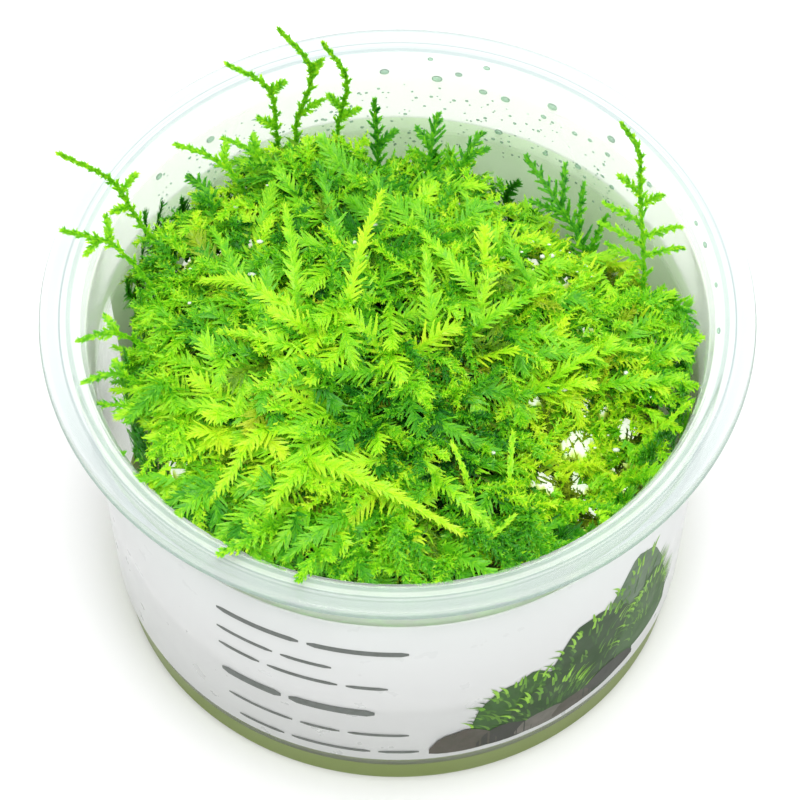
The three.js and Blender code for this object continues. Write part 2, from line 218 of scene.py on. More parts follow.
def let_light_diffuse(tree, colour, share):
    """Part of the light goes through, scattered, as in thin white film or a leaf."""
    through = add_node(tree, "ShaderNodeBsdfTranslucent", Color=colour)
    blend_shader(tree, share, through["BSDF"])


def tub_plastic(name, base, clearness, smoothest, roughest, ior=1.22, **inputs):
    """Thin moulded plastic, from clear to milky, with an uneven polish."""
    inputs.update(Base_Color=base, IOR=ior, Transmission_Weight=clearness)
    material, tree = new_material(name, **inputs)
    uneven_gloss(tree, 90.0, smoothest, roughest, 0.15)
    let_lamps_through(tree, (0.96, 0.98, 0.97, 1))
    return material


# Rings of the rim by radius in millimetres, and how deep the painted shade is at each: darker green-grey
# lines along its edges and steps
RIM_SHADE_RINGS = [
    (45.3, 0.0), (45.6, 0.7), (46.1, 0.7), (46.3, 0.0), (46.9, 0.0), (47.0, 0.6), (47.15, 0.6), (47.3, 0.1),
    (47.9, 0.18), (48.8, 0.18), (49.3, 0.0), (49.7, 0.0), (49.85, 0.8), (50.0, 0.8),
]
RIM_CLEAR = (0.85, 0.89, 0.89)
RIM_SHADE = (0.30, 0.42, 0.40)


def rim_plastic():
    """The plastic of the rim, with painted shade in darker green-grey rings along its edges and steps."""
    material = tub_plastic("rim_plastic", (*RIM_CLEAR, 1), 0.82, 0.06, 0.16, ior=1.25)
    tree = material.node_tree
    x, y, _ = object_place(tree)
    square = math_node(tree, "MULTIPLY", x, x)
    square = math_node(tree, "MULTIPLY_ADD", y, y, square)
    radius = math_node(tree, "SQRT", square)
    first = RIM_SHADE_RINGS[0][0]
    width = RIM_SHADE_RINGS[-1][0] - first
    share = math_node(tree, "MULTIPLY_ADD", radius, 1 / (width * MM), -first / width)
    stops = []
    for ring, depth in RIM_SHADE_RINGS:
        colour = tuple(clear + depth * (deep - clear) for clear, deep in zip(RIM_CLEAR, RIM_SHADE))
        stops.append(((ring - first) / width, colour))
    # Painted shade: the rings darken the base colour along the rim's edges and steps.
    feed_shader(tree, Base_Color=colour_ramp(tree, share, stops))
    return material


def label_front():
    """The printed side of the label: white film with a soft gloss."""
    material, tree = new_material("label_front", Base_Color=(0.60, 0.61, 0.605, 1), IOR=1.40)
    uneven_gloss(tree, 240.0, 0.26, 0.38, 0.06)
    let_light_diffuse(tree, (0.95, 0.97, 0.95, 1), 0.06)
    return material


# The label's reverse: pale green from just before the right side, round the back, nearly to the left side
REVERSE_START = math.radians(-10)
REVERSE_END = math.radians(162)
REVERSE_EDGE = 1.7 * MM


def label_reverse():
    """The label's side that faces the wall: green behind the moss, white elsewhere, with a painted glow that
    stands for light from outside coming through the film.
    """
    material, tree = new_material("label_reverse", Roughness=0.5, Emission_Strength=1.0)
    x, y, z = object_place(tree)
    azimuth = math_node(tree, "ARCTAN2", y, x)
    past_start = math_node(tree, "GREATER_THAN", azimuth, REVERSE_START)
    before_end = math_node(tree, "LESS_THAN", azimuth, REVERSE_END)
    panel = math_node(tree, "MULTIPLY", past_start, before_end)
    edge = math_node(tree, "GREATER_THAN", z, LABEL_TOP - REVERSE_EDGE)
    green = math_node(tree, "MAXIMUM", panel, edge)
    patches = add_mottle(tree, 60.0, 0.0, 1.0)["Value"]
    shade = mix_colours(tree, patches, (0.58, 0.75, 0.45, 1), (0.70, 0.84, 0.60, 1))
    film = mix_colours(tree, green, (0.97, 0.98, 0.97, 1), shade)
    # Painted glow: emission, white on the white film and dim green on the panel, stands for light from
    # outside coming through the label.
    painted_daylight_glow = mix_colours(tree, green, (0.95, 0.95, 0.94, 1), (0.07, 0.10, 0.045, 1))
    feed_shader(tree, Base_Color=film, Emission_Color=painted_daylight_glow)
    let_light_diffuse(tree, film, 0.3)
    return material


def label_ink():
    """Printing ink, in the colour that each printed shape holds."""
    material, tree = new_material("label_ink", IOR=1.25)
    ink = held_value(tree, "ink")["Color"]
    grain = add_mottle(tree, 900.0, 0.0, 0.35)["Value"]
    feed_shader(tree, Base_Color=mix_colours(tree, grain, ink, (0.03, 0.045, 0.02, 1)))
    uneven_gloss(tree, 240.0, 0.40, 0.55)
    return material


def growth_gel():
    """Cloudy pale green jelly."""
    depth = {"Subsurface_Weight": 0.4, "Subsurface_Radius": (0.6, 1.0, 0.4), "Subsurface_Scale": 3 * MM}
    material, tree = new_material("growth_gel", IOR=1.34, Transmission_Weight=0.2, **depth)
    cloud = add_mottle(tree, 70.0, 0.0, 1.0)["Value"]
    feed_shader(tree, Base_Color=mix_colours(tree, cloud, (0.27, 0.34, 0.09, 1), (0.40, 0.48, 0.19, 1)))
    uneven_gloss(tree, 120.0, 0.12, 0.3)
    return material


# Greens of the moss from the deepest shade to the youngest tips, and its browns from bark to olive
LEAF_GREENS = [
    (0.0, (0.002, 0.040, 0.002)),
    (0.2, (0.010, 0.17, 0.010)),
    (0.4, (0.06, 0.40, 0.012)),
    (0.6, (0.21, 0.69, 0.014)),
    (0.8, (0.49, 0.92, 0.020)),
    (1.0, (0.74, 0.97, 0.030)),
]
LEAF_BROWNS = [
    (0.0, (0.03, 0.020, 0.003)),
    (0.5, (0.13, 0.13, 0.008)),
    (1.0, (0.42, 0.44, 0.02)),
]


def moss_leaf(name, smoothest, roughest):
    """Living moss: colour from each leaf's tone and age, part of the light let through."""
    material, tree = new_material(name, IOR=1.42)
    patches = add_mottle(tree, 420.0, -0.05, 0.05)["Value"]
    tone = math_node(tree, "ADD", held_value(tree, "tone")["Fac"], patches)
    green = colour_ramp(tree, tone, LEAF_GREENS)
    brown = colour_ramp(tree, tone, LEAF_BROWNS)
    shade = mix_colours(tree, held_value(tree, "age")["Fac"], green, brown)
    feed_shader(tree, Base_Color=shade)
    uneven_gloss(tree, 900.0, smoothest, roughest)
    let_light_diffuse(tree, shade, 0.35)
    return material


# Painted glow where light would show through the tangle: from olive over yellow-green to nearly white
LITTER_PAINTED_GLOW = [
    (0.0, (0.10, 0.17, 0.006)),
    (0.3, (0.30, 0.46, 0.03)),
    (0.45, (0.62, 0.80, 0.20)),
    (0.6, (0.95, 1.0, 0.86)),
]


def moss_litter():
    """The tangle under the fronds: nearly black, partly its own colour and partly painted shade of the
    depths, and pale in patches with a painted glow that stands for light showing through from below.
    """
    material, tree = new_material("moss_litter", Roughness=0.8, Emission_Strength=0.75)
    patches = add_mottle(tree, 260.0, 0.0, 1.0, 1.0)
    # Nearly black: partly the tangle's own colour, partly painted shade of the depths under the fronds.
    dark = mix_colours(tree, patches["Value"], (0.003, 0.030, 0.003, 1), (0.045, 0.060, 0.005, 1))
    pale = held_value(tree, "pale")["Fac"]
    glow = colour_ramp(tree, pale, LITTER_PAINTED_GLOW)
    # Painted light: the pale patches glow by emission, as if lit from below.
    lit = math_node(tree, "MULTIPLY", pale, 4.0)
    lit = math_node(tree, "MINIMUM", lit, 1.0)
    shade = mix_colours(tree, lit, dark, glow)
    through = mix_colours(tree, lit, (0, 0, 0, 1), glow)
    feed_shader(tree, Base_Color=shade, Emission_Color=through, Normal=patches["Normal"])
    return material


def water(name, base, clearness):
    """Drops of water with a painted base colour: a green tint on the wall drops stands for what they reflect
    and let through, and white on the moss beads stands for glints.
    """
    material, tree = new_material(name, Base_Color=base, IOR=1.33, Transmission_Weight=clearness)
    uneven_gloss(tree, 300.0, 0.0, 0.05)
    return material


def pale_floor():
    """A plain pale floor."""
    material, tree = new_material("pale_floor", Base_Color=(0.88, 0.88, 0.88, 1))
    uneven_gloss(tree, 8.0, 0.6, 0.7)
    return material


# Pieces

def finished(name, mesh, materials, slot_name, *nodes):
    """Puts a mesh in the scene as a piece of the object, with its finish and the nodes that it stands for."""
    piece = bpy.data.objects.new(name, mesh)
    scene.collection.objects.link(piece)
    for material in materials:
        mesh.materials.append(material)
    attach(piece, "root")
    if nodes:
        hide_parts(*nodes)
    return piece


def as_mesh(shape, name):
    """The mesh of a bmesh, which is freed."""
    mesh = bpy.data.meshes.new(name)
    shape.to_mesh(mesh)
    shape.free()
    return mesh


def turned_mesh(name, profile, closed=False, material_of=None, steps=TURN_STEPS):
    """A mesh turned round the Z axis from a profile of radius and height."""
    shape = bmesh.new()
    corners = [shape.verts.new((radius, 0, height)) for radius, height in profile]
    edges = [shape.edges.new(pair) for pair in zip(corners, corners[1:])]
    if closed:
        edges.append(shape.edges.new((corners[-1], corners[0])))
    bmesh.ops.spin(
        shape,
        geom=corners + edges,
        cent=(0, 0, 0),
        axis=(0, 0, 1),
        angle=2 * math.pi,
        steps=steps,
        use_merge=True,
    )
    bmesh.ops.remove_doubles(shape, verts=shape.verts, dist=0.01 * MM)
    bmesh.ops.recalc_face_normals(shape, faces=shape.faces)
    for face in shape.faces:
        face.smooth = True
        if material_of:
            face.material_index = material_of(face)
    return as_mesh(shape, name)


def round_edges(piece, width):
    """Rounds the sharp rings of a turned piece."""
    bevel = piece.modifiers.new("round_edges", "BEVEL")
    bevel.width = width
    bevel.segments = 3
    bevel.limit_method = "ANGLE"
    bevel.angle_limit = math.radians(12)
    bevel.harden_normals = True


def wall_outside(height):
    return BASE_RADIUS + height * WALL_DRAFT


def wall_inside(height):
    return wall_outside(height) - WALL_THICK


def build_tub():
    """Flat base, drafted wall, flared neck and a flange with a raised inner land."""
    underside = RIM_TOP - FLANGE_THICK
    neck = RIM_TOP - 2.6 * MM
    milky_from = LABEL_TOP - 2 * MM
    foot = 4.4 * MM
    profile = [
        (0, 0),
        (BASE_RADIUS - 0.45 * MM, 0),
        (BASE_RADIUS - 0.1 * MM, 0.25 * MM),
        (wall_outside(foot), foot),
        (wall_outside(milky_from), milky_from),
        (wall_outside(neck - 1.2 * MM), neck - 1.2 * MM),
        (wall_outside(neck) + 0.6 * MM, neck + 0.6 * MM),
        (MOUTH_RADIUS + 0.6 * MM, underside),
        (FLANGE_RADIUS - 0.2 * MM, underside),
        (FLANGE_RADIUS, underside + 0.4 * MM),
        (FLANGE_RADIUS - 0.3 * MM, RIM_TOP - 0.2 * MM),
        (FLANGE_RADIUS - 0.7 * MM, RIM_TOP),
        (FLANGE_RADIUS - 1.3 * MM, RIM_TOP - 0.11 * MM),
        (FLANGE_RADIUS - 2.2 * MM, RIM_TOP - 0.11 * MM),
        (FLANGE_RADIUS - 2.8 * MM, RIM_TOP),
        (MOUTH_RADIUS, RIM_TOP),
        (MOUTH_RADIUS - 1.2 * MM, RIM_TOP - 0.6 * MM),
        (wall_inside(neck) + 0.35 * MM, neck + 0.3 * MM),
        (wall_inside(neck - 1.4 * MM), neck - 1.4 * MM),
        (wall_inside(milky_from), milky_from),
        (wall_inside(INNER_CORNER), INNER_CORNER),
        (wall_inside(INNER_CORNER) - 0.6 * MM, FLOOR_THICK),
        (0, FLOOR_THICK),
    ]
    # Painted glow: a faint emission on the neck stands for light spread through the milky plastic.
    painted_neck_glow = {"Emission_Color": (0.92, 1.0, 0.90, 1), "Emission_Strength": 0.08}
    plastics = [
        tub_plastic("wall_plastic", (0.97, 0.99, 0.98, 1), 0.93, 0.03, 0.10),
        rim_plastic(),
        # Painted refraction: the foot's dark olive colour stands for the gel seen through the clear plastic.
        tub_plastic("foot_plastic", (0.25, 0.32, 0.10, 1), 0.25, 0.3, 0.5),
        tub_plastic("neck_plastic", (0.90, 0.95, 0.87, 1), 0.74, 0.05, 0.14, **painted_neck_glow),
    ]
    of_wall, of_rim, of_foot, of_neck = range(len(plastics))

    def part_of_tub(face):
        middle = face.calc_center_median()
        if middle.z > milky_from:
            return of_rim if middle.z > underside - 0.2 * MM else of_neck
        outside = middle.z < foot and face.normal.x * middle.x + face.normal.y * middle.y >= 0
        return of_foot if outside and face.normal.z < 0.5 else of_wall

    mesh = turned_mesh("clear_tub", profile, material_of=part_of_tub)
    tub = finished("clear_tub", mesh, plastics, "clear_plastic", "tub")
    round_edges(tub, 0.28 * MM)


def label_inside(height):
    return wall_outside(height) + GAP


def label_outside(height):
    return label_inside(height) + LABEL_THICK


def build_label():
    """A thin sleeve: printed outside, with another colour on its reverse."""
    profile = [
        (label_inside(LABEL_BOTTOM), LABEL_BOTTOM),
        (label_outside(LABEL_BOTTOM), LABEL_BOTTOM),
        (label_outside(LABEL_TOP), LABEL_TOP),
        (label_inside(LABEL_TOP), LABEL_TOP),
    ]

    def side(face):
        middle = face.calc_center_median()
        outward = Vector((middle.x, middle.y, 0)).normalized().dot(face.normal)
        return 1 if outward < -0.5 else 0

    mesh = turned_mesh("sleeve_label", profile, True, side)
    finished("sleeve_label", mesh, [label_front(), label_reverse()], "label_film", "label_sleeve")


def on_label(degrees, height, layer):
    """The place on the label's face at an angle from its front, to the right, a height and a layer of ink."""
    turn = math.radians(degrees)
    radius = label_outside(height) + INK_LIFT + layer * INK_THICK
    return (radius * math.sin(turn), -radius * math.cos(turn), height)


INK_GREY = (0.15, 0.165, 0.155, 1)
INK_STONES = [(0.085, 0.075, 0.06, 1), (0.15, 0.14, 0.12, 1), (0.045, 0.045, 0.04, 1)]
INK_MOUNDS = [(0.020, 0.060, 0.012, 1), (0.035, 0.105, 0.018, 1), (0.10, 0.17, 0.09, 1)]
# Inks of the sprigs: three for those low on a mound, then three for those along its top
INK_SPRIGS = [
    (0.06, 0.17, 0.015, 1), (0.12, 0.27, 0.03, 1), (0.03, 0.10, 0.012, 1),
    (0.24, 0.52, 0.03, 1), (0.14, 0.36, 0.02, 1), (0.30, 0.60, 0.05, 1),
]
SPRIG_LAYERS = 1 + len(INK_SPRIGS)
DEGREES_PER_MM = 1.32
COLUMN_DEGREES = 1.5
INK_LIFT = 0.04 * MM
INK_THICK = 0.002 * MM
SPRIG_JOINTS = 6
SPRIGS_ON_MOUND = 100


class Print:
    """Flat printed shapes of one ink each, in degrees from the label's front and millimetres of height."""

    def __init__(self):
        self.points = []
        self.faces = []
        self.inks = []
        self.layer = 0

    def put(self, degrees, height, ink):
        """Adds one point of ink."""
        self.points.append(on_label(degrees, height * MM, self.layer))
        self.inks.append(ink)

    def columns(self, edges, bottoms, tops, ink):
        """A shape in narrow upright columns, so that it follows the label's curve."""
        for near in range(len(edges) - 1):
            far = near + 1
            first = len(self.points)
            for place, heights in ((near, bottoms), (far, bottoms), (far, tops), (near, tops)):
                self.put(edges[place], heights[place], ink)
            self.faces.append(tuple(range(first, first + 4)))

    def word(self, left, right, height, thick):
        """A plain bar with slightly narrowed ends, in the place of a word."""
        count = max(3, round((right - left) / COLUMN_DEGREES) + 1)
        edges = np.linspace(left, right, count)
        half = np.full(count, 0.5 * thick)
        half[[0, -1]] *= 0.45
        self.columns(edges, height - half, height + half, INK_GREY)

    def mound(self, centre, half_width, bottom, rise, uneven, ink):
        """A rounded hump or stone on a nearly straight foot."""
        count = max(7, round(2 * half_width / COLUMN_DEGREES))
        across = np.linspace(-0.98, 0.98, count)
        swell = 1 + uneven * np.sin(5 * across + centre) + 0.5 * uneven * np.sin(11 * across + 2 * centre)
        arch = np.sqrt(1 - across ** 2)
        tops = bottom + rise * arch * swell
        self.columns(centre + half_width * across, bottom - 0.12 * rise * arch, tops, ink)

    def sprig(self, root, height, length, lean, width, ink):
        """A blade that tapers and bows to one side."""
        share = np.linspace(0, 1, SPRIG_JOINTS)
        middle = root + lean * share ** 2
        half = 0.5 * width * DEGREES_PER_MM * (1 - share) ** 0.7 * (0.7 + share) + 0.02
        heights = height + length * share
        first = len(self.points)
        for place in range(SPRIG_JOINTS):
            for hand in (-1, 1):
                self.put(middle[place] + hand * half[place], heights[place], ink)
        pairs = range(first, first + 2 * SPRIG_JOINTS - 2, 2)
        self.faces += [tuple(pair + step for step in (0, 1, 3, 2)) for pair in pairs]


# Rows of plain bars: height, thickness, where the row starts, and the bars' widths in degrees
WORD_ROWS = [
    (38.6, 1.3, -35.5, (17, 19)),
    (33.0, 0.9, -36, (12, 10)),
    (28.3, 0.9, -36, (9, 14, 8)),
    (20.8, 1.8, -36, (13, 17)),
    (14.4, 0.7, -35, (14, 8, 12)),
    (9.4, 0.7, -33, (10, 16, 8)),
]
WORD_GAP = 1.6
# Humps of the printed picture: middle, half width, foot, rise and which ink
PRINT_MOUNDS = [
    (52, 12, 14, 24, 2), (25, 11, 11, 14, 1), (41, 13, 11, 21, 0), (57, 9, 13, 15, 1), (31, 10, 9.5, 11, 0),
]
PRINT_STONES = [
    (13, 7, 8.8, 5.4, 0), (21.5, 6, 8.7, 4.2, 2), (30, 6.5, 8.7, 3.6, 1), (46, 8, 9.6, 4, 2),
    (37, 5, 8.9, 3.2, 0),
]


def build_print():
    """Generic print: plain bars on the left, leafy mounds among stones on the right."""
    chance = np.random.default_rng(31)
    sheet = Print()
    for height, thick, start, widths in WORD_ROWS:
        for width in widths:
            sheet.word(start, start + width, height, thick)
            start += width + WORD_GAP
    for order, (centre, half_width, bottom, rise, ink) in enumerate(PRINT_MOUNDS):
        sheet.layer = order * SPRIG_LAYERS
        sheet.mound(centre, half_width, bottom, rise, 0.05, INK_MOUNDS[ink])
        for number in range(SPRIGS_ON_MOUND):
            across = 1.9 * (chance.random() - 0.5)
            up = chance.random() ** 0.6
            height = bottom + rise * up * math.sqrt(1 - across ** 2)
            kind = number % 3 + (3 if up > 0.84 else 0)
            sheet.layer = order * SPRIG_LAYERS + 1 + kind
            length = 1.4 + 1.6 * chance.random()
            lean = 3.5 * across + 2 * (chance.random() - 0.5)
            sheet.sprig(centre + half_width * across, height - 1, length, lean, 0.55, INK_SPRIGS[kind])
    for order, (centre, half_width, bottom, rise, ink) in enumerate(PRINT_STONES):
        sheet.layer = len(PRINT_MOUNDS) * SPRIG_LAYERS + order
        sheet.mound(centre, half_width, bottom, rise, 0.04, INK_STONES[ink])
    mesh = bpy.data.meshes.new("label_print")
    mesh.from_pydata(sheet.points, [], sheet.faces)
    ink = mesh.attributes.new("ink", "FLOAT_COLOR", "POINT")
    ink.data.foreach_set("color", np.array(sheet.inks, np.float32).ravel())
    finished("label_print", mesh, [label_ink()], "label_film")


def build_gel():
    """A disc of jelly that creeps a little way up the wall."""
    film = 0.05 * MM
    bottom = FLOOR_THICK + film
    meniscus = 0.8 * MM
    profile = [
        (0, bottom),
        (wall_inside(INNER_CORNER) - 0.6 * MM - film, bottom),
        (wall_inside(INNER_CORNER) - film, INNER_CORNER),
        (wall_inside(GEL_TOP) - film, GEL_TOP),
        (wall_inside(GEL_TOP) - 0.5 * MM, GEL_TOP),
        (wall_inside(GEL_TOP) - 2 * MM, GEL_TOP - meniscus),
        (0, GEL_TOP - meniscus),
    ]
    mesh = turned_mesh("growth_gel", profile)
    finished("growth_gel", mesh, [growth_gel()], "gel", "nutrient_gel")


# Drops on the inside of the wall and the lip: degrees from the right round to the back, height, half width
WALL_DROPS = [
    (92.5, 57, 0.9), (82.5, 56.2, 1.0), (78.5, 57.2, 0.7), (73.5, 55.2, 0.8), (69, 55, 0.9),
    (59.5, 56.8, 1.0), (46, 57.2, 0.9), (84, 58.6, 0.6), (73.5, 58.6, 0.7), (61, 54.2, 0.6), (54, 54, 0.6),
    (50.5, 54.5, 0.5), (46, 54.2, 0.6), (128.5, 54.2, 0.9), (142, 55, 0.8), (34.5, 55.8, 0.7),
    (20.5, 58.6, 0.6), (15.5, 58.6, 0.7), (6.5, 58.6, 0.6), (-3.5, 58.6, 0.7), (70, 47.5, 0.8),
    (60, 46.5, 0.6), (52.5, 47.5, 0.7), (44, 48.2, 0.6),
]
MIST_DROPS = 320


def inner_radius(height):
    """Radius of the tub's inside at a height in millimetres, from its wall to its lip."""
    heights = (0, 55, 56.7, 58.4, 59)
    radii = (wall_inside(0) / MM, wall_inside(55 * MM) / MM, wall_inside(56.4 * MM) / MM + 0.35, 44.5, 45.7)
    return float(np.interp(height, heights, radii))


def add_bead(shape, half, levels, stretch, place):
    """Adds a ball of a half width in millimetres, stretched and moved to its place, and gives its points."""
    made = bmesh.ops.create_icosphere(shape, subdivisions=levels, radius=half * MM)["verts"]
    bmesh.ops.scale(shape, vec=stretch, verts=made)
    bmesh.ops.translate(shape, vec=place, verts=made)
    return made


def finish_beads(name, shape, material):
    """Puts beads in the scene as one smooth piece."""
    for face in shape.faces:
        face.smooth = True
    finished(name, as_mesh(shape, name), [material], "clear_plastic")


def build_drops():
    """Drops that cling to the wall and the lip, and a fine mist of beads on the back wall."""
    chance = np.random.default_rng(8)
    drops = [(azimuth, height, 0.8 * half, 0.7, 2) for azimuth, height, half in WALL_DROPS]
    for _ in range(MIST_DROPS):
        half = 0.14 + 0.2 * chance.random() ** 2
        drops.append((38 + 108 * chance.random(), 41 + 13.5 * chance.random(), half, 0.9, 1))
    shape = bmesh.new()
    for azimuth, height, half, flat, levels in drops:
        place = ((inner_radius(height) - 0.42 * half) * MM, 0, height * MM)
        made = add_bead(shape, half, levels, (0.5, 1, flat), place)
        turn = Matrix.Rotation(math.radians(azimuth), 3, "Z")
        bmesh.ops.rotate(shape, cent=(0, 0, 0), matrix=turn, verts=made)
    # Painted reflection: the drops' green tint stands for the moss and label seen in them.
    finish_beads("wall_drops", shape, water("wall_water", (0.55, 0.75, 0.61, 1), 0.75))


# Moss, in millimetres until it is meshed

GOLDEN_ANGLE = math.pi * (3 - math.sqrt(5))


def steady(item, purpose):
    """A steady value from 0 to 1 for an item and a purpose, the same as in the frame."""
    value = math.sin(item * 12.9898 + purpose * 78.233) * 43758.5453
    return value - math.floor(value)


def bump(x, y, centre_x, centre_y, spread, height):
    """A round bump of the given height and spread."""
    return height * np.exp(-((x - centre_x) ** 2 + (y - centre_y) ** 2) / spread ** 2)


def cushion_reach(angle):
    """Reach of the cushion from the axis at an angle: it fills the tub but for its recesses."""
    reach = CUSHION_RADIUS + 0.4 * (np.sin(5 * angle + 0.6) + 0.6 * np.sin(9 * angle + 2))
    for direction, depth, sharpness in (BACK_RECESS, LEFT_RECESS):
        reach = reach - depth * np.maximum(0, np.cos(angle - math.radians(direction))) ** sharpness
    return reach


# Swellings and hollows of the cushion's top: x, y, spread and height
CUSHION_BUMPS = [
    (-22, -12, 13, 2.5), (-13, 24, 9, 6), (14, 8, 10, 1.5), (26, -20, 11, -9), (25, 20, 10, -7),
    (-5, -16, 5, -4), (14, -15, 7, -5),
]


def cushion_top(x, y):
    """Height of the cushion's top, with its hollows and swellings."""
    share = np.minimum(1, np.hypot(x, y) / cushion_reach(np.arctan2(y, x)))
    height = CUSHION_EDGE_HEIGHT + DOME_RISE * (1 - share ** 2.4)
    for at_x, at_y, spread, rise in CUSHION_BUMPS:
        height = height + bump(x, y, at_x, at_y, spread, rise)
    return height + 0.9 * np.sin(0.55 * x + 1.3) * np.cos(0.5 * y)


# Slanting gaps between the fronds, where the tangle's painted pale glow shows: x and y at the height of
# SIGHT_HEIGHT, and radius
SIGHT_HEIGHT = 60
SIGHT_LEAN = 0.70
SIGHT_SQUASH = 0.82
CLEARING_SCALE = 1.1
CLEARINGS = [
    (25.0, -23.4, 1.3), (31.9, -21.2, 1.0), (20.5, -28.8, 1.4), (24.7, -30.1, 1.3), (30.9, -26.8, 0.9),
    (26.5, -35.2, 1.1), (32.6, -31.0, 1.0), (19.1, -15.7, 0.7), (14.9, 19.0, 0.8), (15.9, 15.6, 0.7),
    (19.5, 8.3, 1.0), (23.4, 4.9, 0.8), (-35.8, -23.4, 1.2), (-30.5, -27.3, 0.9), (-20.9, 11.4, 0.6),
    (-25.1, 10.0, 0.6), (-30.3, 8.3, 0.8), (-2.4, 25.8, 0.9), (0.6, 16.0, 0.5), (25.3, 9.9, 0.9),
    (29.9, 5.2, 0.9), (26.3, -4, 0.5), (29.7, -3.7, 0.6), (28, -6.6, 0.5), (35.7, -5.7, 0.5),
    (25.8, -16.6, 0.5), (28.6, -17.3, 0.5),
]


def clearing_depth(points):
    """How far into a slanting gap each point lies: 1 at its edge, less outside, more inside."""
    slanted = points[:, 1] + SIGHT_LEAN * (points[:, 2] - SIGHT_HEIGHT)
    across = points[:, 0] + 0.55 * np.sin(2.3 * slanted + 0.7 * points[:, 0])
    slanted = slanted + 0.6 * np.sin(2.7 * points[:, 0] + 1.1)
    depth = np.zeros(len(points))
    for x, y, radius in CLEARINGS:
        away = np.hypot(across - x, SIGHT_SQUASH * (slanted - y))
        depth = np.maximum(depth, CLEARING_SCALE * radius / np.maximum(away, 0.05))
    return depth


def unit(vectors):
    """The vectors at length one."""
    return vectors / np.maximum(np.linalg.norm(vectors, axis=-1, keepdims=True), 1e-9)


def along_route(route, share):
    """Places and directions on a smooth curve through a route's points, at shares of its way."""
    points = np.vstack([2 * route[0] - route[1], route, 2 * route[-1] - route[-2]])
    spot = share * (len(route) - 1)
    index = np.minimum(spot.astype(int), len(route) - 2)
    t = (spot - index)[:, None]
    a, b, c, d = (points[index + step] for step in range(4))
    square = 2 * a - 5 * b + 4 * c - d
    cube = 3 * b - a - 3 * c + d
    place = b + 0.5 * ((c - a) * t + square * t ** 2 + cube * t ** 3)
    heading = 0.5 * ((c - a) + 2 * square * t + 3 * cube * t ** 2)
    return place, unit(heading)


def route_length(route):
    return np.linalg.norm(np.diff(route, axis=0), axis=1).sum()


# Limits of the moss in the tub: how far it keeps off the wall, where the wall ends, the lip's radius there,
# how fast the lip widens, and the height over which the moss is free
WALL_CLEARANCE = 0.2
WALL_END = 56.2
LIP_RADIUS = 43.2
LIP_FLARE = 0.8
FREE_HEIGHT = 59.2
METRE = 1000


def inside_tub(points):
    """Draws points in from the tub's wall and lip, and leaves those above the rim."""
    height = points[:, 2]
    radius = np.hypot(points[:, 0], points[:, 1])
    wall = METRE * wall_inside(height * MM) - WALL_CLEARANCE
    lip = LIP_RADIUS + (height - WALL_END) * LIP_FLARE
    limit = np.where(height < WALL_END, wall, lip)
    limit = np.where(height > FREE_HEIGHT, METRE, limit)
    pull = np.minimum(1, limit / np.maximum(radius, 1e-6))
    drawn = points.copy()
    drawn[:, :2] *= pull[:, None]
    return drawn


# How a stem is clad: leaf length, how round the leaves stand, leaves per mm, how far they splay, their
# slenderness, how they are turned at random, how far they stray from the stem's tone, and its half width
COMB_STEM = (1.3, 0.5, 12.0, 0.9, 0.34, 0.3, 0.05, 0.34)
COMB_TOOTH = (0.62, 0.4, 5.0, 0.8, 0.50, 0.3, 0.05, 0.40)
FLUFF_STEM = (0.85, 1.0, 9.0, 1.15, 0.46, 0.8, 0.11, 0.26)
FLUFF_TWIG = (0.68, 1.0, 6.5, 1.15, 0.52, 0.8, 0.11, 0.24)
CATKIN_STEM = (0.95, 1.0, 15.0, 0.7, 0.46, 0.4, 0.08, 0.50)
SHOOT_STEM = (0.85, 1.0, 16.0, 0.66, 0.6, 0.35, 0.09, 0.46)
SHOOT_TWIG = (0.75, 1.0, 12.0, 0.66, 0.6, 0.35, 0.09, 0.42)
BARE_STEM = (0.7, 1.0, 1.1, 1.0, 0.42, 0.3, 0.05, 0.19)
# Ways of branching: distance between branches, how far they leave the frond's plane, and what clads them
COMB = (0.95, 0.14, COMB_STEM, COMB_TOOTH)
LOOSE_COMB = (0.85, 0.38, COMB_STEM, COMB_TOOTH)
FLUFF = (0.80, 0.75, FLUFF_STEM, FLUFF_TWIG)
OPEN_SHOOT = (2.2, 0.3, SHOOT_STEM, SHOOT_TWIG)
CLOSE_SHOOT = (1.4, 0.3, SHOOT_STEM, SHOOT_TWIG)
TWIG = (1.2, 0.3, SHOOT_TWIG, SHOOT_TWIG)


# Columns of a stem's row: its start, reach, bend and facing, its tone and age, and its cladding in that order
START, REACH, BEND, FACING = (slice(first, first + 3) for first in (0, 3, 6, 9))
TONE, AGE, LEAF_LENGTH, ROUNDED, DENSE, SPLAY, SLENDERNESS, TURNED, SPECKLE, HALF_WIDTH = range(12, 22)
STEM_PIECE = 1.5
BRANCH_ANGLE = math.radians(64)
BRANCH_CLOSING = math.radians(22)
LEAF_ANGLE = math.radians(52)
LEAF_CLOSING = math.radians(16)
LEAF_SHADING = [-0.08, -0.08, 0.06]
STRIP_SHADING = 0.04
STRIP_TRIANGLES = [[0, 1, 3], [0, 3, 2], [2, 3, 5], [2, 5, 4]]
STRIP_POINTS = 6
CLEARED_DEPTH = 0.75


def stem_ways(stems):
    """Each stem's start, its reach to the tip, its bend and the way its leaves face."""
    return [stems[:, part] for part in (START, REACH, BEND, FACING)]


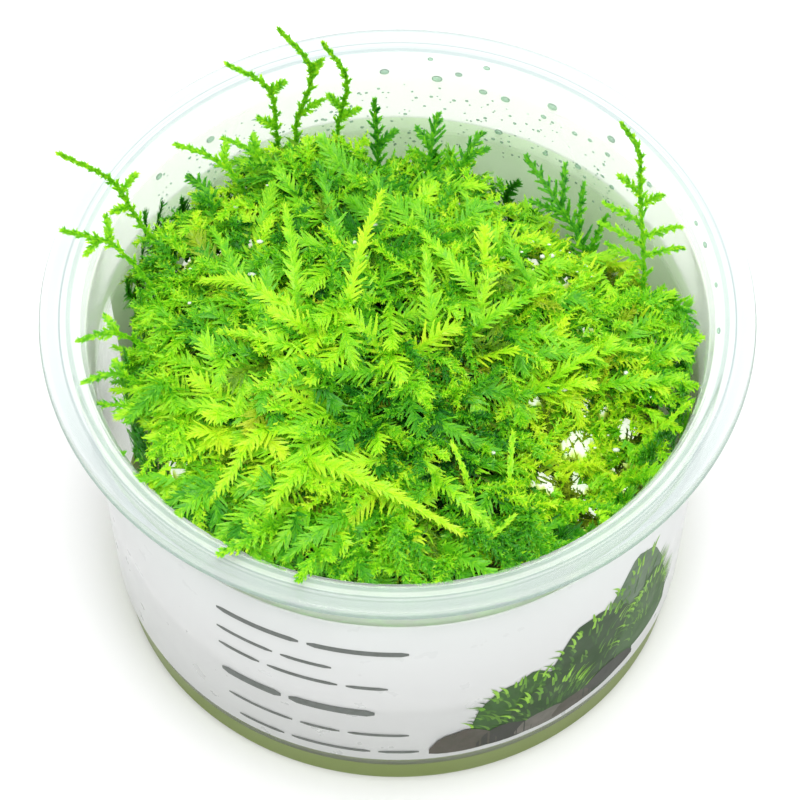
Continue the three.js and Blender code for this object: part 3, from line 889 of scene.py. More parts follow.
class Growth:
    """Leafy stems gathered for one piece of moss."""

    def __init__(self, seed):
        self.chance = np.random.default_rng(seed)
        self.stems = []

    def add(self, start, reach, bend, facing, tone, age, cladding):
        """Adds stems: start, reach to the tip, bend, the way their leaves face, tone, age and cladding."""
        columns = [np.broadcast_to(np.asarray(v, float), (len(start),)) for v in (tone, age, *cladding)]
        self.stems.append(np.hstack([start, reach, bend, facing, np.stack(columns, axis=1)]))

    def stem(self, route, facing, tone, age, cladding):
        """One stem along a route, in short straight lengths."""
        route = np.asarray(route, float)
        nodes = max(4, int(route_length(route) / STEM_PIECE))
        joints, _ = along_route(route, np.linspace(0, 1, nodes + 1))
        share = (np.arange(nodes) + 0.5) / nodes
        _, heading = along_route(route, share)
        side = unit(np.cross(heading, facing))
        upward = unit(np.cross(side, heading))
        tones = tone + 0.10 * (share - 0.5)
        self.add(joints[:-1], np.diff(joints, axis=0), 0 * heading, upward, tones, age, cladding)

    def frond(self, route, half_width, facing, tone, habit, age=0.0):
        """One frond along a route: its main stem and its side branches, flat or bushy by its habit."""
        spacing, stray, main, side = habit
        chance = self.chance
        route = np.asarray(route, float)
        facing = unit(np.asarray(facing, float))
        self.stem(route, facing, tone, age, main)
        nodes = max(5, int(route_length(route) / spacing))
        share = (np.arange(nodes) + 0.5) / nodes
        _, heading = along_route(route, share)
        across = unit(np.cross(heading, facing))
        upward = unit(np.cross(across, heading))
        taper = np.minimum(share / 0.15, 1) * (1 - 0.85 * share ** 1.8)
        for hand in (-1, 1):
            offset = np.clip(share + hand * 0.25 / nodes, 0, 1)
            start, _ = along_route(route, offset)
            angle = BRANCH_ANGLE - BRANCH_CLOSING * share + chance.normal(0, 0.10, nodes)
            length = half_width * taper * (0.7 + 0.5 * chance.random(nodes)) / np.sin(angle)
            tilt = chance.normal(0.06, stray, nodes)
            way = np.cos(angle)[:, None] * heading + (hand * np.sin(angle))[:, None] * across
            way = unit(way + tilt[:, None] * upward)
            bend = length[:, None] * (0.24 * heading - 0.14 * upward)
            tones = tone + chance.normal(0, 0.05, nodes)
            self.add(start, way * length[:, None], bend, upward, tones, age, side)

    def mesh(self, name, cleared=True):
        """Meshes the stems: a tapered strip for each, and a thin pointed leaf at each step along it."""
        stems = np.vstack(self.stems)
        if cleared:
            start, reach, bend, _ = stem_ways(stems)
            open_way = np.maximum(clearing_depth(start + 0.5 * reach), clearing_depth(start + reach + bend))
            stems = stems[open_way < CLEARED_DEPTH]
        tone, age, dense, speckle = stems[:, (TONE, AGE, DENSE, SPECKLE)].T
        length = np.linalg.norm(stems[:, REACH], axis=1)
        counts = np.maximum(1, np.round(length * dense)).astype(int)
        owner = np.repeat(np.arange(len(stems)), counts)
        number = np.arange(len(owner)) - np.repeat(np.cumsum(counts) - counts, counts)
        share = (number + 0.5) / counts[owner]
        corners = self.leaves(stems[owner], share, number)
        leaf_tone = tone[owner] + 0.08 * (share - 0.5) + speckle[owner] * self.chance.normal(0, 1, len(owner))
        leaf_age = np.clip(age[owner] + self.chance.normal(0, 0.05, len(owner)) * (age[owner] > 0), 0, 1)
        strip = self.strips(stems)
        points = np.vstack([corners.reshape(-1, 3), strip.reshape(-1, 3)])
        leaf_base = 3 * np.arange(len(owner))[:, None]
        strip_base = 3 * len(owner) + STRIP_POINTS * np.arange(len(stems))[:, None]
        faces = [leaf_base + [0, 1, 2]] + [strip_base + triangle for triangle in STRIP_TRIANGLES]
        strip_tone = np.repeat(tone - STRIP_SHADING, STRIP_POINTS)
        tones = np.concatenate([(leaf_tone[:, None] + LEAF_SHADING).ravel(), strip_tone])
        ages = np.concatenate([np.repeat(leaf_age, 3), np.repeat(age, STRIP_POINTS)])
        return joined_mesh(name, inside_tub(points), np.vstack(faces), tones, ages)

    def leaves(self, stems, share, number):
        """The two ends of each leaf's base, and its tip. Each row of stems is the leaf's own stem."""
        chance = self.chance
        start, reach, bend, facing = stem_ways(stems)
        columns = (LEAF_LENGTH, ROUNDED, SPLAY, SLENDERNESS, TURNED)
        leaf_length, rounded, splay, slenderness, turned = stems[:, columns].T
        count = len(share)
        along = share[:, None]
        base = start + reach * along + bend * along ** 2
        heading = unit(reach + 2 * bend * along)
        side = unit(np.cross(heading, facing))
        upward = np.cross(side, heading)
        around = number * GOLDEN_ANGLE + chance.normal(0, 0.35, count)
        outward = np.cos(around)[:, None] * side + (np.sin(around) * rounded)[:, None] * upward
        spread = splay * (LEAF_ANGLE - LEAF_CLOSING * share) + chance.normal(0, 0.14, count)
        spread = spread[:, None]
        way = unit(np.cos(spread) * heading + np.sin(spread) * outward)
        looks = unit(upward + turned[:, None] * chance.normal(0, 1, (count, 3)))
        across = unit(np.cross(way, looks))
        length = (leaf_length * (0.8 + 0.4 * chance.random(count)) * (1 - 0.3 * share))[:, None]
        half = 0.5 * slenderness[:, None] * length * across
        tip = base + length * way - 0.08 * length * np.cross(across, way)
        return np.stack([base - half, base + half, tip], axis=1)

    def strips(self, stems):
        """A strip of two lengths along each stem, that narrows to its tip."""
        start, reach, bend, facing = stem_ways(stems)
        side = unit(np.cross(reach, facing)) * stems[:, HALF_WIDTH, None]
        rows = []
        for share in (0.0, 0.5, 1.0):
            middle = start + reach * share + bend * share ** 2
            rows += [middle - side * (1 - 0.8 * share), middle + side * (1 - 0.8 * share)]
        return np.stack(rows, axis=1)


def joined_mesh(name, points, triangles, tones, ages):
    """One mesh of many small shapes, with a tone and an age at each point. Points are in millimetres."""
    mesh = bpy.data.meshes.new(name)
    mesh.vertices.add(len(points))
    mesh.vertices.foreach_set("co", (points * MM).astype(np.float32).ravel())
    mesh.loops.add(triangles.size)
    mesh.loops.foreach_set("vertex_index", triangles.astype(np.int32).ravel())
    mesh.polygons.add(len(triangles))
    mesh.polygons.foreach_set("loop_start", np.arange(0, triangles.size, 3, dtype=np.int32))
    mesh.polygons.foreach_set("loop_total", np.full(len(triangles), 3, np.int32))
    for label, values in (("tone", tones), ("age", ages)):
        layer = mesh.attributes.new(label, "FLOAT", "POINT")
        layer.data.foreach_set("value", np.clip(values, 0, 1).astype(np.float32))
    mesh.update(calc_edges=True)
    mesh.validate()
    return mesh


# The longest fronds and the catkin-like stems lie over the others, each along the frame's own points of x, y
# and height over the cushion's top, from a root just under the top. Each frond has its tone first.
LEADING_FRONDS = [
    (1.0, (-8, -6.5), (-6.8, -2.5, 2.4), (-4.6, 6, 4.4), (-2.2, 13.4, 6.6)),
    (1.0, (-15, -23), (-10, -27.5, 2.6), (-2.4, -31.1, 3.4), (8.7, -36.8, 3.6)),
    (0.96, (-12, -4), (-17, -1.5, 1.8), (-22, 1.2, 2.6), (-27.2, 3.2, 3)),
    (1.0, (-17, -20), (-19.5, -23, 2.4), (-23, -28, 3), (-26.4, -31.8, 2.8)),
    (0.96, (-11, -25), (-14, -28.5, 2.6), (-16.6, -32, 2.6), (-18.9, -35.7, 1.8)),
    (0.84, (8, -7), (13, -4.4, 2.6), (18, -1, 3), (22.6, 2, 2.6)),
    (0.9, (15, -13), (21, -11, 2.4), (27, -8, 3.4), (33.4, -5.6, 2.6)),
    (0.86, (3, -27), (7, -31, 2.4), (12, -35, 3), (16.6, -38.4, 2.2)),
    (0.92, (-18.6, -20), (-24.4, -18.3, 2), (-29.9, -17.4, 2), (-35.3, -15.5, 1)),
    (0.86, (-23.7, -13.5), (-28.6, -10.6, 2), (-34.3, -6.6, 2), (-39.4, -3.8, 1.2)),
    (0.8, (-21.6, -26.6), (-27.1, -25, 2), (-32, -22.8, 1.6), (-36.2, -19.9, 1)),
    (0.9, (-9.3, -7.5), (-14.8, -10.1, 2), (-18.6, -9.3, 2.6), (-24.6, -6.3, 2)),
    (0.84, (13.1, -2.7), (9.7, 0.3, 2.4), (5.9, 4.4, 3.2), (2.8, 9.4, 3)),
    (0.78, (16.3, 3.3), (13.5, 8.2, 2.2), (10.8, 13.7, 2.6), (8.4, 20.6, 2.4)),
    (0.74, (19.7, -3.1), (18.3, 1.4, 2), (16.3, 5, 2.6), (14.6, 12.3, 2.2)),
    (0.84, (5.8, -9), (4.7, -4.6, 2.4), (4.2, 0.9, 3), (3.8, 6, 2.8)),
    (0.82, (24.6, -11), (29.4, -10.4, 2.4), (34.9, -10.6, 3), (40, -8.7, 2)),
    (0.78, (14.9, -8.5), (20.4, -8, 2.4), (25.9, -7.3, 2.4), (31.5, -5.5, 2)),
    (0.82, (14.2, -5), (19.7, -6, 2), (24.5, -6.3, 2.4), (28.7, -8.5, 2)),
    (0.66, (16.7, -35.4), (19.5, -34.1, 1.4), (22.3, -31.6, 2), (25.8, -29.1, 2)),
    (0.7, (0.3, -33.3), (1.7, -37, 1), (3.7, -39.2, 1), (5.8, -41.2, 0.6)),
    (0.72, (-9.2, -33.1), (-8.5, -36.6, 1), (-7.8, -39.4, 1), (-7.2, -41.4, 0.6)),
    (0.66, (-1.7, -30.8), (-4.4, -34.6, 1), (-6.5, -37.6, 1.4), (-9.2, -40.4, 0.8)),
    (0.84, (-13.5, -6.6), (-14.2, 0.9, 2.4), (-14.9, 7.3, 3), (-15.7, 14.1, 2.8)),
    (0.68, (-8, 5.6), (-8.7, 10.6, 2), (-10.1, 16.5, 2.2), (-11.1, 21.3, 2)),
    (0.76, (-20.4, -1.1), (-22.6, 4.4, 2), (-24.4, 8.7, 2.6), (-25.9, 13.2, 2)),
    (0.7, (0.3, -11.2), (-3.8, -12.1, 1.6), (-8.6, -13.3, 2), (-13.4, -13, 2)),
    (0.66, (3.1, -16.7), (6.5, -21, 1.6), (9.9, -22.4, 2), (14.1, -23, 2)),
    (0.68, (8.6, -12.1), (12.8, -12.8, 1.6), (16.9, -12.1, 2), (21.8, -11.7, 2)),
]
CATKINS = [
    [(15.4, -31.2), (15.3, -28.7, 2), (15.5, -25.2, 4.4), (15.8, -21.3, 6.4)],
    [(10.6, -34.4), (10.2, -31.3, 2), (8.9, -28.1, 3.4), (7.4, -24.1, 3.4)],
    [(7.8, -39), (9.9, -38.6, 1.8), (12.9, -37, 3.2), (16, -33.8, 3.6)],
    [(22.3, -28.6), (28, -22.4, 2.8), (33.8, -18.6, 4.4), (40, -15.6, 6.6)],
]


def over_top(x, y, lift=-ROOT_DEPTH):
    """A point at a height over the cushion's top, or a root just under it."""
    return (x, y, float(cushion_top(x, y)) + lift)


# Painted light and shade on the moss, where its tone is raised or lowered: x, y, spread, change of tone
PAINTED_LIGHT_PATCHES = [
    (-18.4, -24, 10, 0.12), (-30, -21, 10, 0.12), (-17.7, 0, 8, 0.08), (-10, -7, 6, 0.14),
    (-12, 12, 12, -0.12), (2, 12, 10, -0.12), (10, 10, 6, 0.08), (21.5, -10, 8, 0.16), (24.7, -16, 7, 0.22),
    (22, -24, 8, 0.16), (22, 11, 9, 0.1), (31, 6, 8, 0.12), (-3, -29, 6, 0.1), (3.5, -19.5, 6, -0.36),
    (12, -20, 5, -0.2), (-24, -8, 6, -0.14), (-24, -33.5, 6, -0.24), (-11.5, -37.5, 6, -0.16),
    (12, -35, 6, -0.12), (-6, -15.5, 5, -0.22), (10, -26, 4.5, -0.28), (-5.2, 24.4, 9, -0.08),
    (-3, -4, 4, -0.14), (-16, 4, 3, -0.14), (-20, -13, 3, -0.2), (8, -6, 4, -0.1),
]


def painted_light_change(x, y):
    """How far the painted light and shade raise or lower the moss's tone at a place."""
    return float(sum(bump(x, y, at_x, at_y, spread, change) for at_x, at_y, spread, change in PAINTED_LIGHT_PATCHES))


def habit_at(x, y, item):
    """Comb-like fronds mostly at the front left, bushy ones elsewhere."""
    combed = 0.22 + bump(x, y, -20, -24, 17, 0.55) + bump(x, y, -14, 0, 12, 0.25)
    return COMB if steady(item, 16) < combed else FLUFF


def dome_facing(x, y, chance, wander):
    """The way a frond on the dome faces: up, a little outward, and a little at random."""
    lean = 0.5 * math.hypot(x, y) / CUSHION_RADIUS ** 2
    return unit(np.array([x * lean, y * lean, 1.0]) + wander * chance.normal(0, 1, 3))


def spiral_route(item, count, length, heading_spread, lift, rise, overhang):
    """A frond's route over the dome, from the item's place on a golden spiral outward."""
    angle = item * GOLDEN_ANGLE
    reach = float(cushion_reach(angle)) * 0.9 * math.sqrt((item + 0.5) / count)
    outward = reach / CUSHION_RADIUS
    heading = angle + (steady(item, 1) - 0.5) * (heading_spread - 1.4 * outward)
    length = length * (0.75 + 0.5 * steady(item, 2)) * (1 - 0.25 * outward)

    def place(along, height):
        x = reach * math.cos(angle) + math.cos(heading) * along * length
        y = reach * math.sin(angle) + math.sin(heading) * along * length
        radius = math.hypot(x, y)
        limit = float(cushion_reach(math.atan2(y, x))) + overhang
        if radius > limit:
            x *= limit / radius
            y *= limit / radius
        return over_top(x, y, height)

    return [
        place(-0.35, lift - ROOT_DEPTH),
        place(0.05, lift + 0.6),
        place(0.4, lift + 0.6 + rise * 0.6),
        place(0.62, lift + rise),
    ]


EDGE_START = math.radians(-205)
EDGE_SWEEP = math.radians(212)


def edge_route(item, count):
    """A frond that leans out to the lip, round the front and the sides: furthest and highest at the front."""
    angle = EDGE_START + EDGE_SWEEP * (item + steady(item, 8)) / count
    frontness = min(1, 1.6 * max(0, -math.sin(angle)))
    inner = float(cushion_reach(angle)) - 8 + 3 * steady(item, 9)
    turn = (steady(item, 10) - 0.5) * 0.5
    rise = 0.8 + 2.2 * steady(item, 11) + 1.4 * frontness
    points = []
    for share, height in ((0, -ROOT_DEPTH), (0.33, 0.7 * rise), (0.67, rise), (1, 0.8 * rise)):
        along = share * (6.5 + 4.5 * frontness)
        way = angle + turn * along / 10
        points.append(over_top((inner + along) * math.cos(way), (inner + along) * math.sin(way), height))
    return points


def flank_route(angle, bottom, length, lean):
    """A frond up the cushion's side, from a height of its own."""
    points = []
    for along in (0, 0.35, 0.7, 1.0):
        height = bottom + length * along
        share = 0.9 + 0.1 * min(1, (height - 10) / 30)
        radius = float(cushion_reach(angle)) * share + lean * along
        way = angle + 0.10 * math.sin(bottom + 3 * along)
        points.append((radius * math.cos(way), radius * math.sin(way), height))
    return points


SECTORS = ["front", "right", "back", "left", "crown"]
CROWN_RADIUS = 16


def sector_of(x, y):
    """Which piece of the cushion a frond belongs to."""
    if math.hypot(x, y) < CROWN_RADIUS:
        return "crown"
    quarter = round((math.degrees(math.atan2(y, x)) + 90) / 90) % 4
    return SECTORS[quarter]


# Layers of fronds from deep to high: how many, length, half width, height over the cushion's top, tone. The
# deeper layers have darker tones: painted shade of the depths.
FROND_LAYERS = [
    (170, 15, 2.8, -4.2, 0.32),
    (260, 14, 2.6, -2.8, 0.48),
    (320, 13, 2.5, -1.4, 0.64),
    (340, 12, 2.4, -0.2, 0.78),
]
EDGE_FRONDS = 120
FLANK_FRONDS = 130


def build_cushion(leaf):
    """The cushion's fronds, in five pieces."""
    growths = {name: Growth(number + 3) for number, name in enumerate(SECTORS)}

    def grow(route, half_width, tone, wander, habit, age=0.0):
        x, y = route[1][:2]
        growth = growths[sector_of(x, y)]
        growth.frond(route, half_width, dome_facing(x, y, growth.chance, wander), tone, habit, age)

    for item in range(MAIN_FRONDS):
        rise = 1.2 + 3.6 * steady(item, 3)
        route = spiral_route(item, MAIN_FRONDS, FROND_LENGTH, 2.6, 0, rise, FROND_OVERHANG)
        grow(route, 2.4, 0.72 + 0.2 * (steady(item, 4) - 0.5) + painted_light_change(*route[1][:2]), 0.2, COMB)
    for tone, *points in LEADING_FRONDS:
        grow([over_top(*point) for point in points], 1.8, tone - 0.1, 0.25, LOOSE_COMB)
    for points in CATKINS:
        route = [over_top(*point) for point in points]
        growths[sector_of(*points[0])].stem(route, VIEW_WAY, 0.78, 0.0, CATKIN_STEM)
    for layer, (count, length, half_width, lift, tone) in enumerate(FROND_LAYERS):
        for number in range(count):
            item = number + 0.37 * (layer + 1)
            route = spiral_route(item, count, length, 4.2, lift, 0.8 + 3.0 * steady(item, 5), 1.2)
            x, y = route[1][:2]
            habit = habit_at(x, y, item)
            width = half_width * (1 if habit is COMB else 0.72)
            shade = tone + 0.40 * (steady(item, 6) - 0.5) + painted_light_change(x, y)
            grow(route, width, shade, 0.35, habit, 0.5 if steady(item, 7) > 0.95 else 0.0)
    for item in range(EDGE_FRONDS):
        route = edge_route(item, EDGE_FRONDS)
        x, y = route[1][:2]
        shade = 0.64 + 0.3 * (steady(item, 6) - 0.5) + painted_light_change(x, y)
        grow(route, 1.9, shade, 0.25, habit_at(x, y, item))
    for name, growth in growths.items():
        finished("moss_" + name, growth.mesh("moss_" + name), [leaf], "moss", "moss_cushion")


def build_flank(leaf):
    """Fronds up the cushion's side: all the way up in the recess, and above the label elsewhere."""
    growth = Growth(21)
    for item in range(FLANK_FRONDS):
        angle = item * GOLDEN_ANGLE
        in_recess = math.cos(angle - math.radians(BACK_RECESS[0])) > 0.1
        bottom = (12 + 32 * steady(item, 12)) if in_recess else (38 + 8 * steady(item, 12))
        route = flank_route(angle, bottom, 11 + 4 * steady(item, 13), 1.5 * steady(item, 14))
        facing = (math.cos(angle), math.sin(angle), 0.5)
        growth.frond(route, 2.6, facing, 0.46 + 0.3 * (steady(item, 15) - 0.5), COMB)
    finished("moss_flank", growth.mesh("moss_flank", False), [leaf], "moss", "moss_cushion")


# Where old stems show between the green ones: x, y, spread, how many bare stems, how many olive fronds
OLD_ZONES = [
    (26, -26, 8, 26, 14), (-11, -35, 4, 8, 6), (12, -19, 5, 10, 5), (3, -18, 4, 9, 4), (-13, 3, 4, 5, 2),
    (9, -1, 4, 5, 2), (0, 14, 5, 5, 3), (-22, -14, 4, 5, 2), (24, 12, 6, 10, 5), (3, -38, 6, 4, 6),
]


def build_old_stems(leaf):
    """Bare brown stems and olive fronds in the hollows."""
    growth = Growth(22)
    chance = growth.chance
    for x, y, spread, bare, olive in OLD_ZONES:
        for number in range(bare + olive):
            start_x, start_y = np.array([x, y]) + spread * 0.6 * chance.normal(0, 1, 2)
            heading = 2 * math.pi * chance.random()
            length = 6 + 6 * chance.random()
            low = -4.5 + 2.5 * chance.random()
            route = []
            for along in (0, 0.33, 0.67, 1):
                turn = heading + 0.6 * along * chance.normal(0, 1)
                step = length * along * np.array([math.cos(turn), math.sin(turn)])
                place = np.array([start_x, start_y]) + step
                limit = cushion_reach(math.atan2(place[1], place[0])) - 1
                place *= min(1, limit / np.hypot(*place))
                route.append(over_top(*place, low + 2.6 * along))
            route = np.array(route)
            if number < bare:
                growth.stem(route, VIEW_WAY, 0.5 + 0.4 * chance.random(), 0.72, BARE_STEM)
            else:
                facing = dome_facing(start_x, start_y, chance, 0.3)
                growth.frond(route, 1.8, facing, 0.5 + 0.35 * chance.random(), FLUFF, 0.75)
    finished("moss_old_stems", growth.mesh("moss_old_stems", False), [leaf], "moss", "moss_cushion")


# Where beads of water lie on the moss, painted white to stand in for glints of light: x, y, spread, how many
GLINT_BEAD_ZONES = [
    (23, 9, 8, 24), (6, 14, 12, 8), (-10, -2, 14, 3), (27, -14, 9, 14), (3, -24, 12, 2), (-24, 8, 9, 7),
]


def build_glint_beads():
    """Small beads of water on the moss, painted white so that they stand in for glints of light."""
    chance = np.random.default_rng(12)
    shape = bmesh.new()
    for x, y, spread, count in GLINT_BEAD_ZONES:
        for _ in range(count):
            place = np.array((x, y)) + 0.6 * spread * chance.normal(0, 1, 2)
            half = 0.15 + 0.27 * chance.random() ** 2
            lift = 0.5 + 1.6 * chance.random()
            stretch = 1 + chance.random()
            limit = float(cushion_reach(math.atan2(place[1], place[0]))) - 3
            place *= min(1, limit / np.hypot(*place))
            add_bead(shape, half, 1, (stretch, 1, 0.8), Vector(over_top(*place, lift)) * MM)
    finish_beads("moss_glint_beads", shape, water("moss_glint_water", (0.96, 1.0, 0.90, 1), 0.2))


# The tangle: how far it keeps inside the cushion's reach and under its top, its steps round and its rings
LITTER_INSET = 3.2
LITTER_DEPTH = 5.2
LITTER_STEPS = 240
LITTER_RINGS = 56


def litter_profile():
    """Radius and height of the tangle before it is shaped: side first, then rings over the top."""
    radius = (CUSHION_RADIUS - LITTER_INSET) * MM
    bottom = GEL_TOP + GAP
    side = [(0, bottom), (0.86 * radius, bottom), (0.93 * radius, 22 * MM), (0.97 * radius, 36 * MM)]
    rings = [(radius * share, 50 * MM) for share in np.linspace(1, 0, LITTER_RINGS)]
    return side + rings


def build_litter():
    """The dark tangle that fills the cushion under its fronds, with pale patches of painted light in its
    gaps.
    """
    mesh = turned_mesh("moss_litter", litter_profile(), steps=LITTER_STEPS)
    count = len(mesh.vertices)
    flat = np.zeros(count * 3, np.float32)
    mesh.vertices.foreach_get("co", flat)
    points = flat.reshape(-1, 3) / MM
    angle = np.arctan2(points[:, 1], points[:, 0])
    stretch = cushion_reach(angle) / CUSHION_RADIUS
    points[:, :2] *= stretch[:, None]
    x, y = points[:, 0], points[:, 1]
    edge = np.hypot(x, y) / (cushion_reach(angle) - LITTER_INSET)
    top = cushion_top(x, y) - LITTER_DEPTH - 6 * edge ** 8
    rough = np.sin(1.7 * x) * np.cos(1.9 * y) + np.sin(0.9 * x + 1.1 * y)
    above = points[:, 2] > 40
    points[:, 2] = np.where(above, top + 0.7 * rough, points[:, 2])
    # Painted light: pale, glowing patches in the slanting gaps, a faint halo round them and a wide patch at
    # the right front, each raised a little toward the top.
    thin = bump(x, y, 27, -24, 10, 0.42) * (0.6 + 0.4 * rough)
    depth = clearing_depth(points)
    halo = 0.24 * np.clip(2.4 * depth - 0.5, 0, 1)
    pale = np.clip(np.maximum(np.maximum(2.2 * depth - 1.1, halo), thin), 0, 1) * above
    points[:, 2] += 2.4 * pale + 0.25 * pale * np.sin(7 * x) * np.sin(6 * y)
    mesh.vertices.foreach_set("co", (points * MM).astype(np.float32).ravel())
    layer = mesh.attributes.new("pale", "FLOAT", "POINT")
    layer.data.foreach_set("value", pale.astype(np.float32))
    mesh.update()
    finished("moss_litter", mesh, [moss_litter()], "moss", "moss_cushion")


# The free shoots, along the frame's own routes: a row of the stem's points, then a row of each twig's start
# and end, each point as x, y and height
SHOOTS = {
    "shoot_back_tall": [
        (-13.5, 26.5, 55, -14.3, 29.2, 63, -12, 29.2, 76, -16.5, 29.1, 86),
        (-14.2, 29.4, 65, -10.4, 29.6, 69), (-12.1, 29.2, 75, -10.6, 29.4, 78.5),
    ],
    "shoot_back_bent": [
        (-16.2, 25.8, 55, -17, 28, 62, -18, 28.4, 73, -23.8, 27.5, 80),
        (-17.8, 28.4, 71.5, -15.8, 28.6, 74.5), (-17.2, 28.2, 64, -19.6, 28.4, 66),
    ],
    "shoot_back_curled": [
        (-9, 27, 55, -8.4, 29.4, 63, -7.1, 29.2, 74, -10.4, 29.3, 82.5),
        (-8.2, 29.5, 64, -5.4, 30.2, 66), (-7.8, 29.4, 67, -9.8, 29.7, 69.5),
    ],
    "shoot_back_dark": [
        (-2.8, 22, 57, -2.8, 25, 63, -3.3, 28.4, 70.5),
        (-2.8, 25.2, 63.5, -0.2, 26.4, 66),
    ],
    "shoot_far_left": [
        (-32, 11.4, 54.5, -36.7, 13.6, 63.5, -40, 14.6, 70.5, -46.8, 12.8, 79),
        (-37.4, 13.8, 65, -39.8, 11.4, 67), (-38.6, 14.2, 67.5, -36.4, 16, 70),
    ],
    "shoot_left_spur": [
        (-32.6, 4.8, 54.8, -38.7, 8.2, 62.6, -42.5, 8.6, 65, -46.6, 8.3, 67),
        (-39.8, 8.4, 63.4, -40.6, 11.4, 66.4), (-41.6, 8.6, 64.4, -43.2, 5.6, 65),
    ],
    "shoot_left_short": [
        (-20, 19, 57, -23, 21.6, 62, -27, 23, 65, -31.2, 23.6, 66.4),
        (-24.4, 22.2, 63, -24.2, 25, 65),
    ],
    "shoot_left_back": [
        (-16.4, 23, 56, -19.4, 24.2, 62, -21.6, 25.2, 63.8, -24.6, 26, 64.6),
        (-19.8, 24.4, 62.4, -20.4, 26.8, 64.4),
    ],
    "shoot_left_dark": [
        (-24.4, 13.6, 55, -26, 16.8, 61, -27.4, 19.4, 62.4, -29.6, 21, 62.2),
        (-26.2, 17.2, 61.2, -28.6, 17.4, 62.4),
    ],
    "shoot_left_low": [
        (-32, -4.8, 54.8, -38, -5.4, 61.4, -41, -6, 62.4, -44.2, -7, 62.2),
        (-38.6, -5.4, 61.6, -40.6, -3, 62.6),
    ],
    "shoot_left_lower": [
        (-32.4, -10.8, 54.6, -38, -11.6, 60.6, -40.6, -12.2, 61.4, -43.4, -13.2, 61),
        (-37.6, -11.6, 60.2, -39.2, -9.4, 61),
    ],
    "shoot_right_feather": [
        (33.6, 3, 50, 34.4, 7, 58, 33.8, 13, 67, 33.4, 16, 75, 30.8, 17, 80.4),
        (34.3, 8, 59.6, 29, 9.4, 62.4), (34.2, 9.6, 61.8, 28, 11.2, 65), (34, 11.4, 64.4, 28.6, 12.8, 67.4),
        (33.8, 13.6, 68, 30.6, 14.4, 71.6), (34.2, 8.6, 60.4, 39.8, 8.8, 62.4),
        (34.1, 10.2, 62.8, 39.4, 10.4, 65.2), (33.8, 12.8, 66.6, 36.8, 12.6, 69.6),
    ],
    "shoot_right_fan": [
        (27, 12, 49, 26, 16, 53, 22.4, 21, 56.6, 18, 27, 59),
        (26.6, 14, 51.4, 29.4, 18, 57.4), (25.4, 17.6, 54.2, 26.2, 22.6, 58.6),
        (23.2, 20.2, 56, 23.6, 25.4, 59.4), (24.2, 19, 55.2, 18.6, 19.8, 58.2),
    ],
    "shoot_right_arch": [
        (36, 5, 53, 39.4, 2, 57.4, 40.8, -2.4, 56.4, 40.2, -7.4, 51),
        (39.2, 2.2, 57.2, 37.4, -1.4, 59.4),
    ],
    "shoot_back_twin_left": [
        (4.4, 22, 56.5, 4.6, 25.6, 62, 5.6, 29.4, 65.6),
        (4.7, 26, 62.2, 2.6, 28.4, 63.8),
    ],
    "shoot_back_twin_right": [
        (8, 23, 55.5, 9.2, 26.4, 58.6, 11.8, 30, 60.6),
        (9.4, 26.6, 58.8, 12.8, 27.2, 60.6),
    ],
    "shoot_lip_left": [
        (-15.5, -34, 56.5, -18, -37.6, 61, -21, -39.8, 61.4, -24.2, -41.4, 60.9),
        (-18.6, -38, 61.1, -20.8, -36.4, 61.8),
    ],
    "shoot_lip_front": [
        (-9, -37, 55, -10.6, -40.2, 60, -12, -43, 61.2, -13.4, -45.6, 60.9),
        (-10.8, -40.6, 60.3, -8.6, -42.4, 61.4),
    ],
}
# Tone, half width and habit where a shoot differs from the usual
USUAL_SHOOT = (0.66, 0.9, OPEN_SHOOT)
SHOOT_LOOKS = {
    "shoot_back_dark": (0.44, 1.6, CLOSE_SHOOT),
    "shoot_back_twin_left": (0.46, 2.2, CLOSE_SHOOT),
    "shoot_back_twin_right": (0.46, 2.2, CLOSE_SHOOT),
    "shoot_left_dark": (0.46, 1.6, CLOSE_SHOOT),
    "shoot_right_fan": (0.46, 2.3, CLOSE_SHOOT),
    "shoot_right_feather": (0.64, 1.0, OPEN_SHOOT),
    "shoot_right_arch": (0.50, 1.5, CLOSE_SHOOT),
    "shoot_lip_left": (0.7, 1.8, CLOSE_SHOOT),
    "shoot_lip_front": (0.66, 1.6, CLOSE_SHOOT),
}


def build_shoots(leaf):
    """Each free shoot: a round leafy stem with short leafy spurs, and its twigs."""
    for number, (name, rows) in enumerate(SHOOTS.items()):
        route, *twigs = (np.reshape(row, (-1, 3)) for row in rows)
        growth = Growth(number + 40)
        tone, half_width, habit = SHOOT_LOOKS.get(name, USUAL_SHOOT)
        growth.frond(route, half_width, VIEW_WAY, tone, habit)
        for start, end in twigs:
            middle = (start + end) / 2 + (0, 0, 0.3)
            growth.frond([start, middle, end], 0.7, VIEW_WAY, tone + 0.04, TWIG)
        mesh = growth.mesh(name + "_leaves", False)
        finished(name + "_leaves", mesh, [leaf], "moss_shoot", name)


# Stage

FLOOR_REACH = 3.0
SURROUNDINGS_STRENGTH = 0.87
LAMP_TARGET = Vector((0, 0, 0.05))
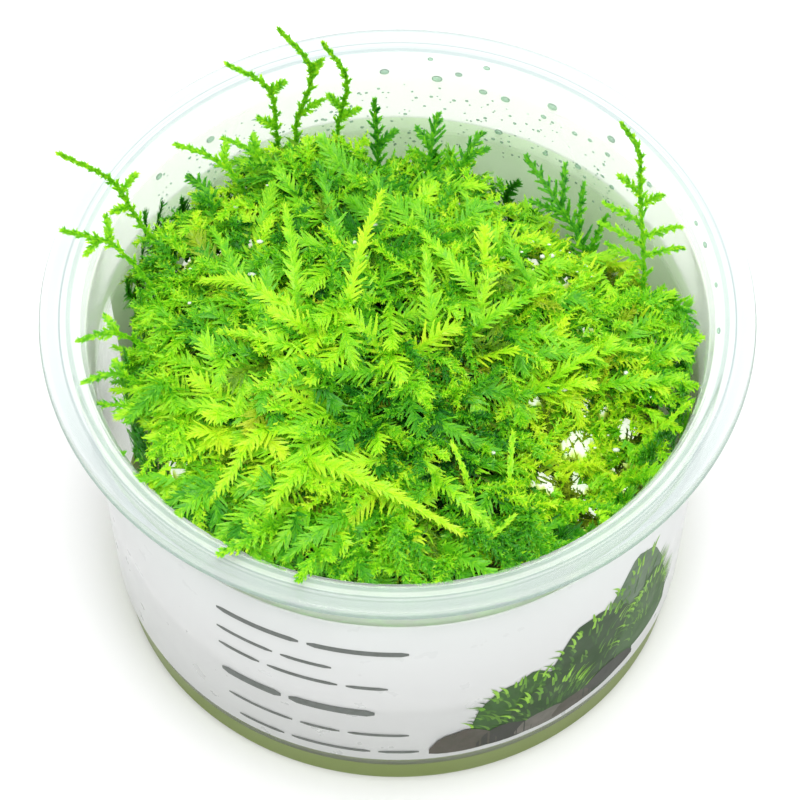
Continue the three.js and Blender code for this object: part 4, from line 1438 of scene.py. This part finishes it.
# The photograph's camera, as fitted to the tub's ellipses
CAMERA_PLACE = (0.00033, -0.5739, 0.8779)
CAMERA_TILT = math.radians(34.33)
CAMERA_LENS = 323.7
SENSOR_WIDTH = 36


def build_floor():
    """A wide pale floor under the tub."""
    shape = bmesh.new()
    bmesh.ops.create_grid(shape, x_segments=1, y_segments=1, size=FLOOR_REACH)
    mesh = as_mesh(shape, "pale_floor")
    floor = bpy.data.objects.new("pale_floor", mesh)
    scene.collection.objects.link(floor)
    mesh.materials.append(pale_floor())


def build_light(name, place, size, power):
    """A soft square lamp that looks at the tub."""
    lamp = bpy.data.lights.new(name, "AREA")
    lamp.energy = power
    lamp.size = size
    holder = bpy.data.objects.new(name, lamp)
    holder.location = place
    holder.rotation_euler = (LAMP_TARGET - Vector(place)).to_track_quat("-Z", "Y").to_euler()
    scene.collection.objects.link(holder)


def build_surroundings():
    """Even white surroundings, a soft key from above and a weaker fill."""
    world = bpy.data.worlds.new("white_surroundings")
    world.use_nodes = True
    tree = world.node_tree
    feed_named(tree, tree.nodes["Background"], Color=(1, 1, 1, 1), Strength=SURROUNDINGS_STRENGTH)
    scene.world = world
    build_light("key", (0, -0.2, 0.92), 0.5, 5.1)
    build_light("fill", (0.45, 0.3, 0.8), 0.6, 1.5)
    scene.view_settings.view_transform = "Standard"


def build_camera():
    """The photograph's view: far off, about 55 degrees above the horizon, square frame."""
    camera = bpy.data.cameras.new("camera")
    camera.sensor_width = SENSOR_WIDTH
    camera.lens = CAMERA_LENS
    camera.clip_start = 0.05
    holder = bpy.data.objects.new("camera", camera)
    holder.location = CAMERA_PLACE
    holder.rotation_euler = (CAMERA_TILT, 0, 0)
    scene.collection.objects.link(holder)
    scene.camera = holder


build_camera()
build_surroundings()
build_floor()
build_tub()
build_label()
build_print()
build_gel()
build_drops()
build_litter()
cushion_leaf = moss_leaf("moss_leaf", 0.3, 0.55)
build_cushion(cushion_leaf)
build_flank(cushion_leaf)
build_old_stems(cushion_leaf)
build_glint_beads()
build_shoots(moss_leaf("shoot_leaf", 0.28, 0.5))
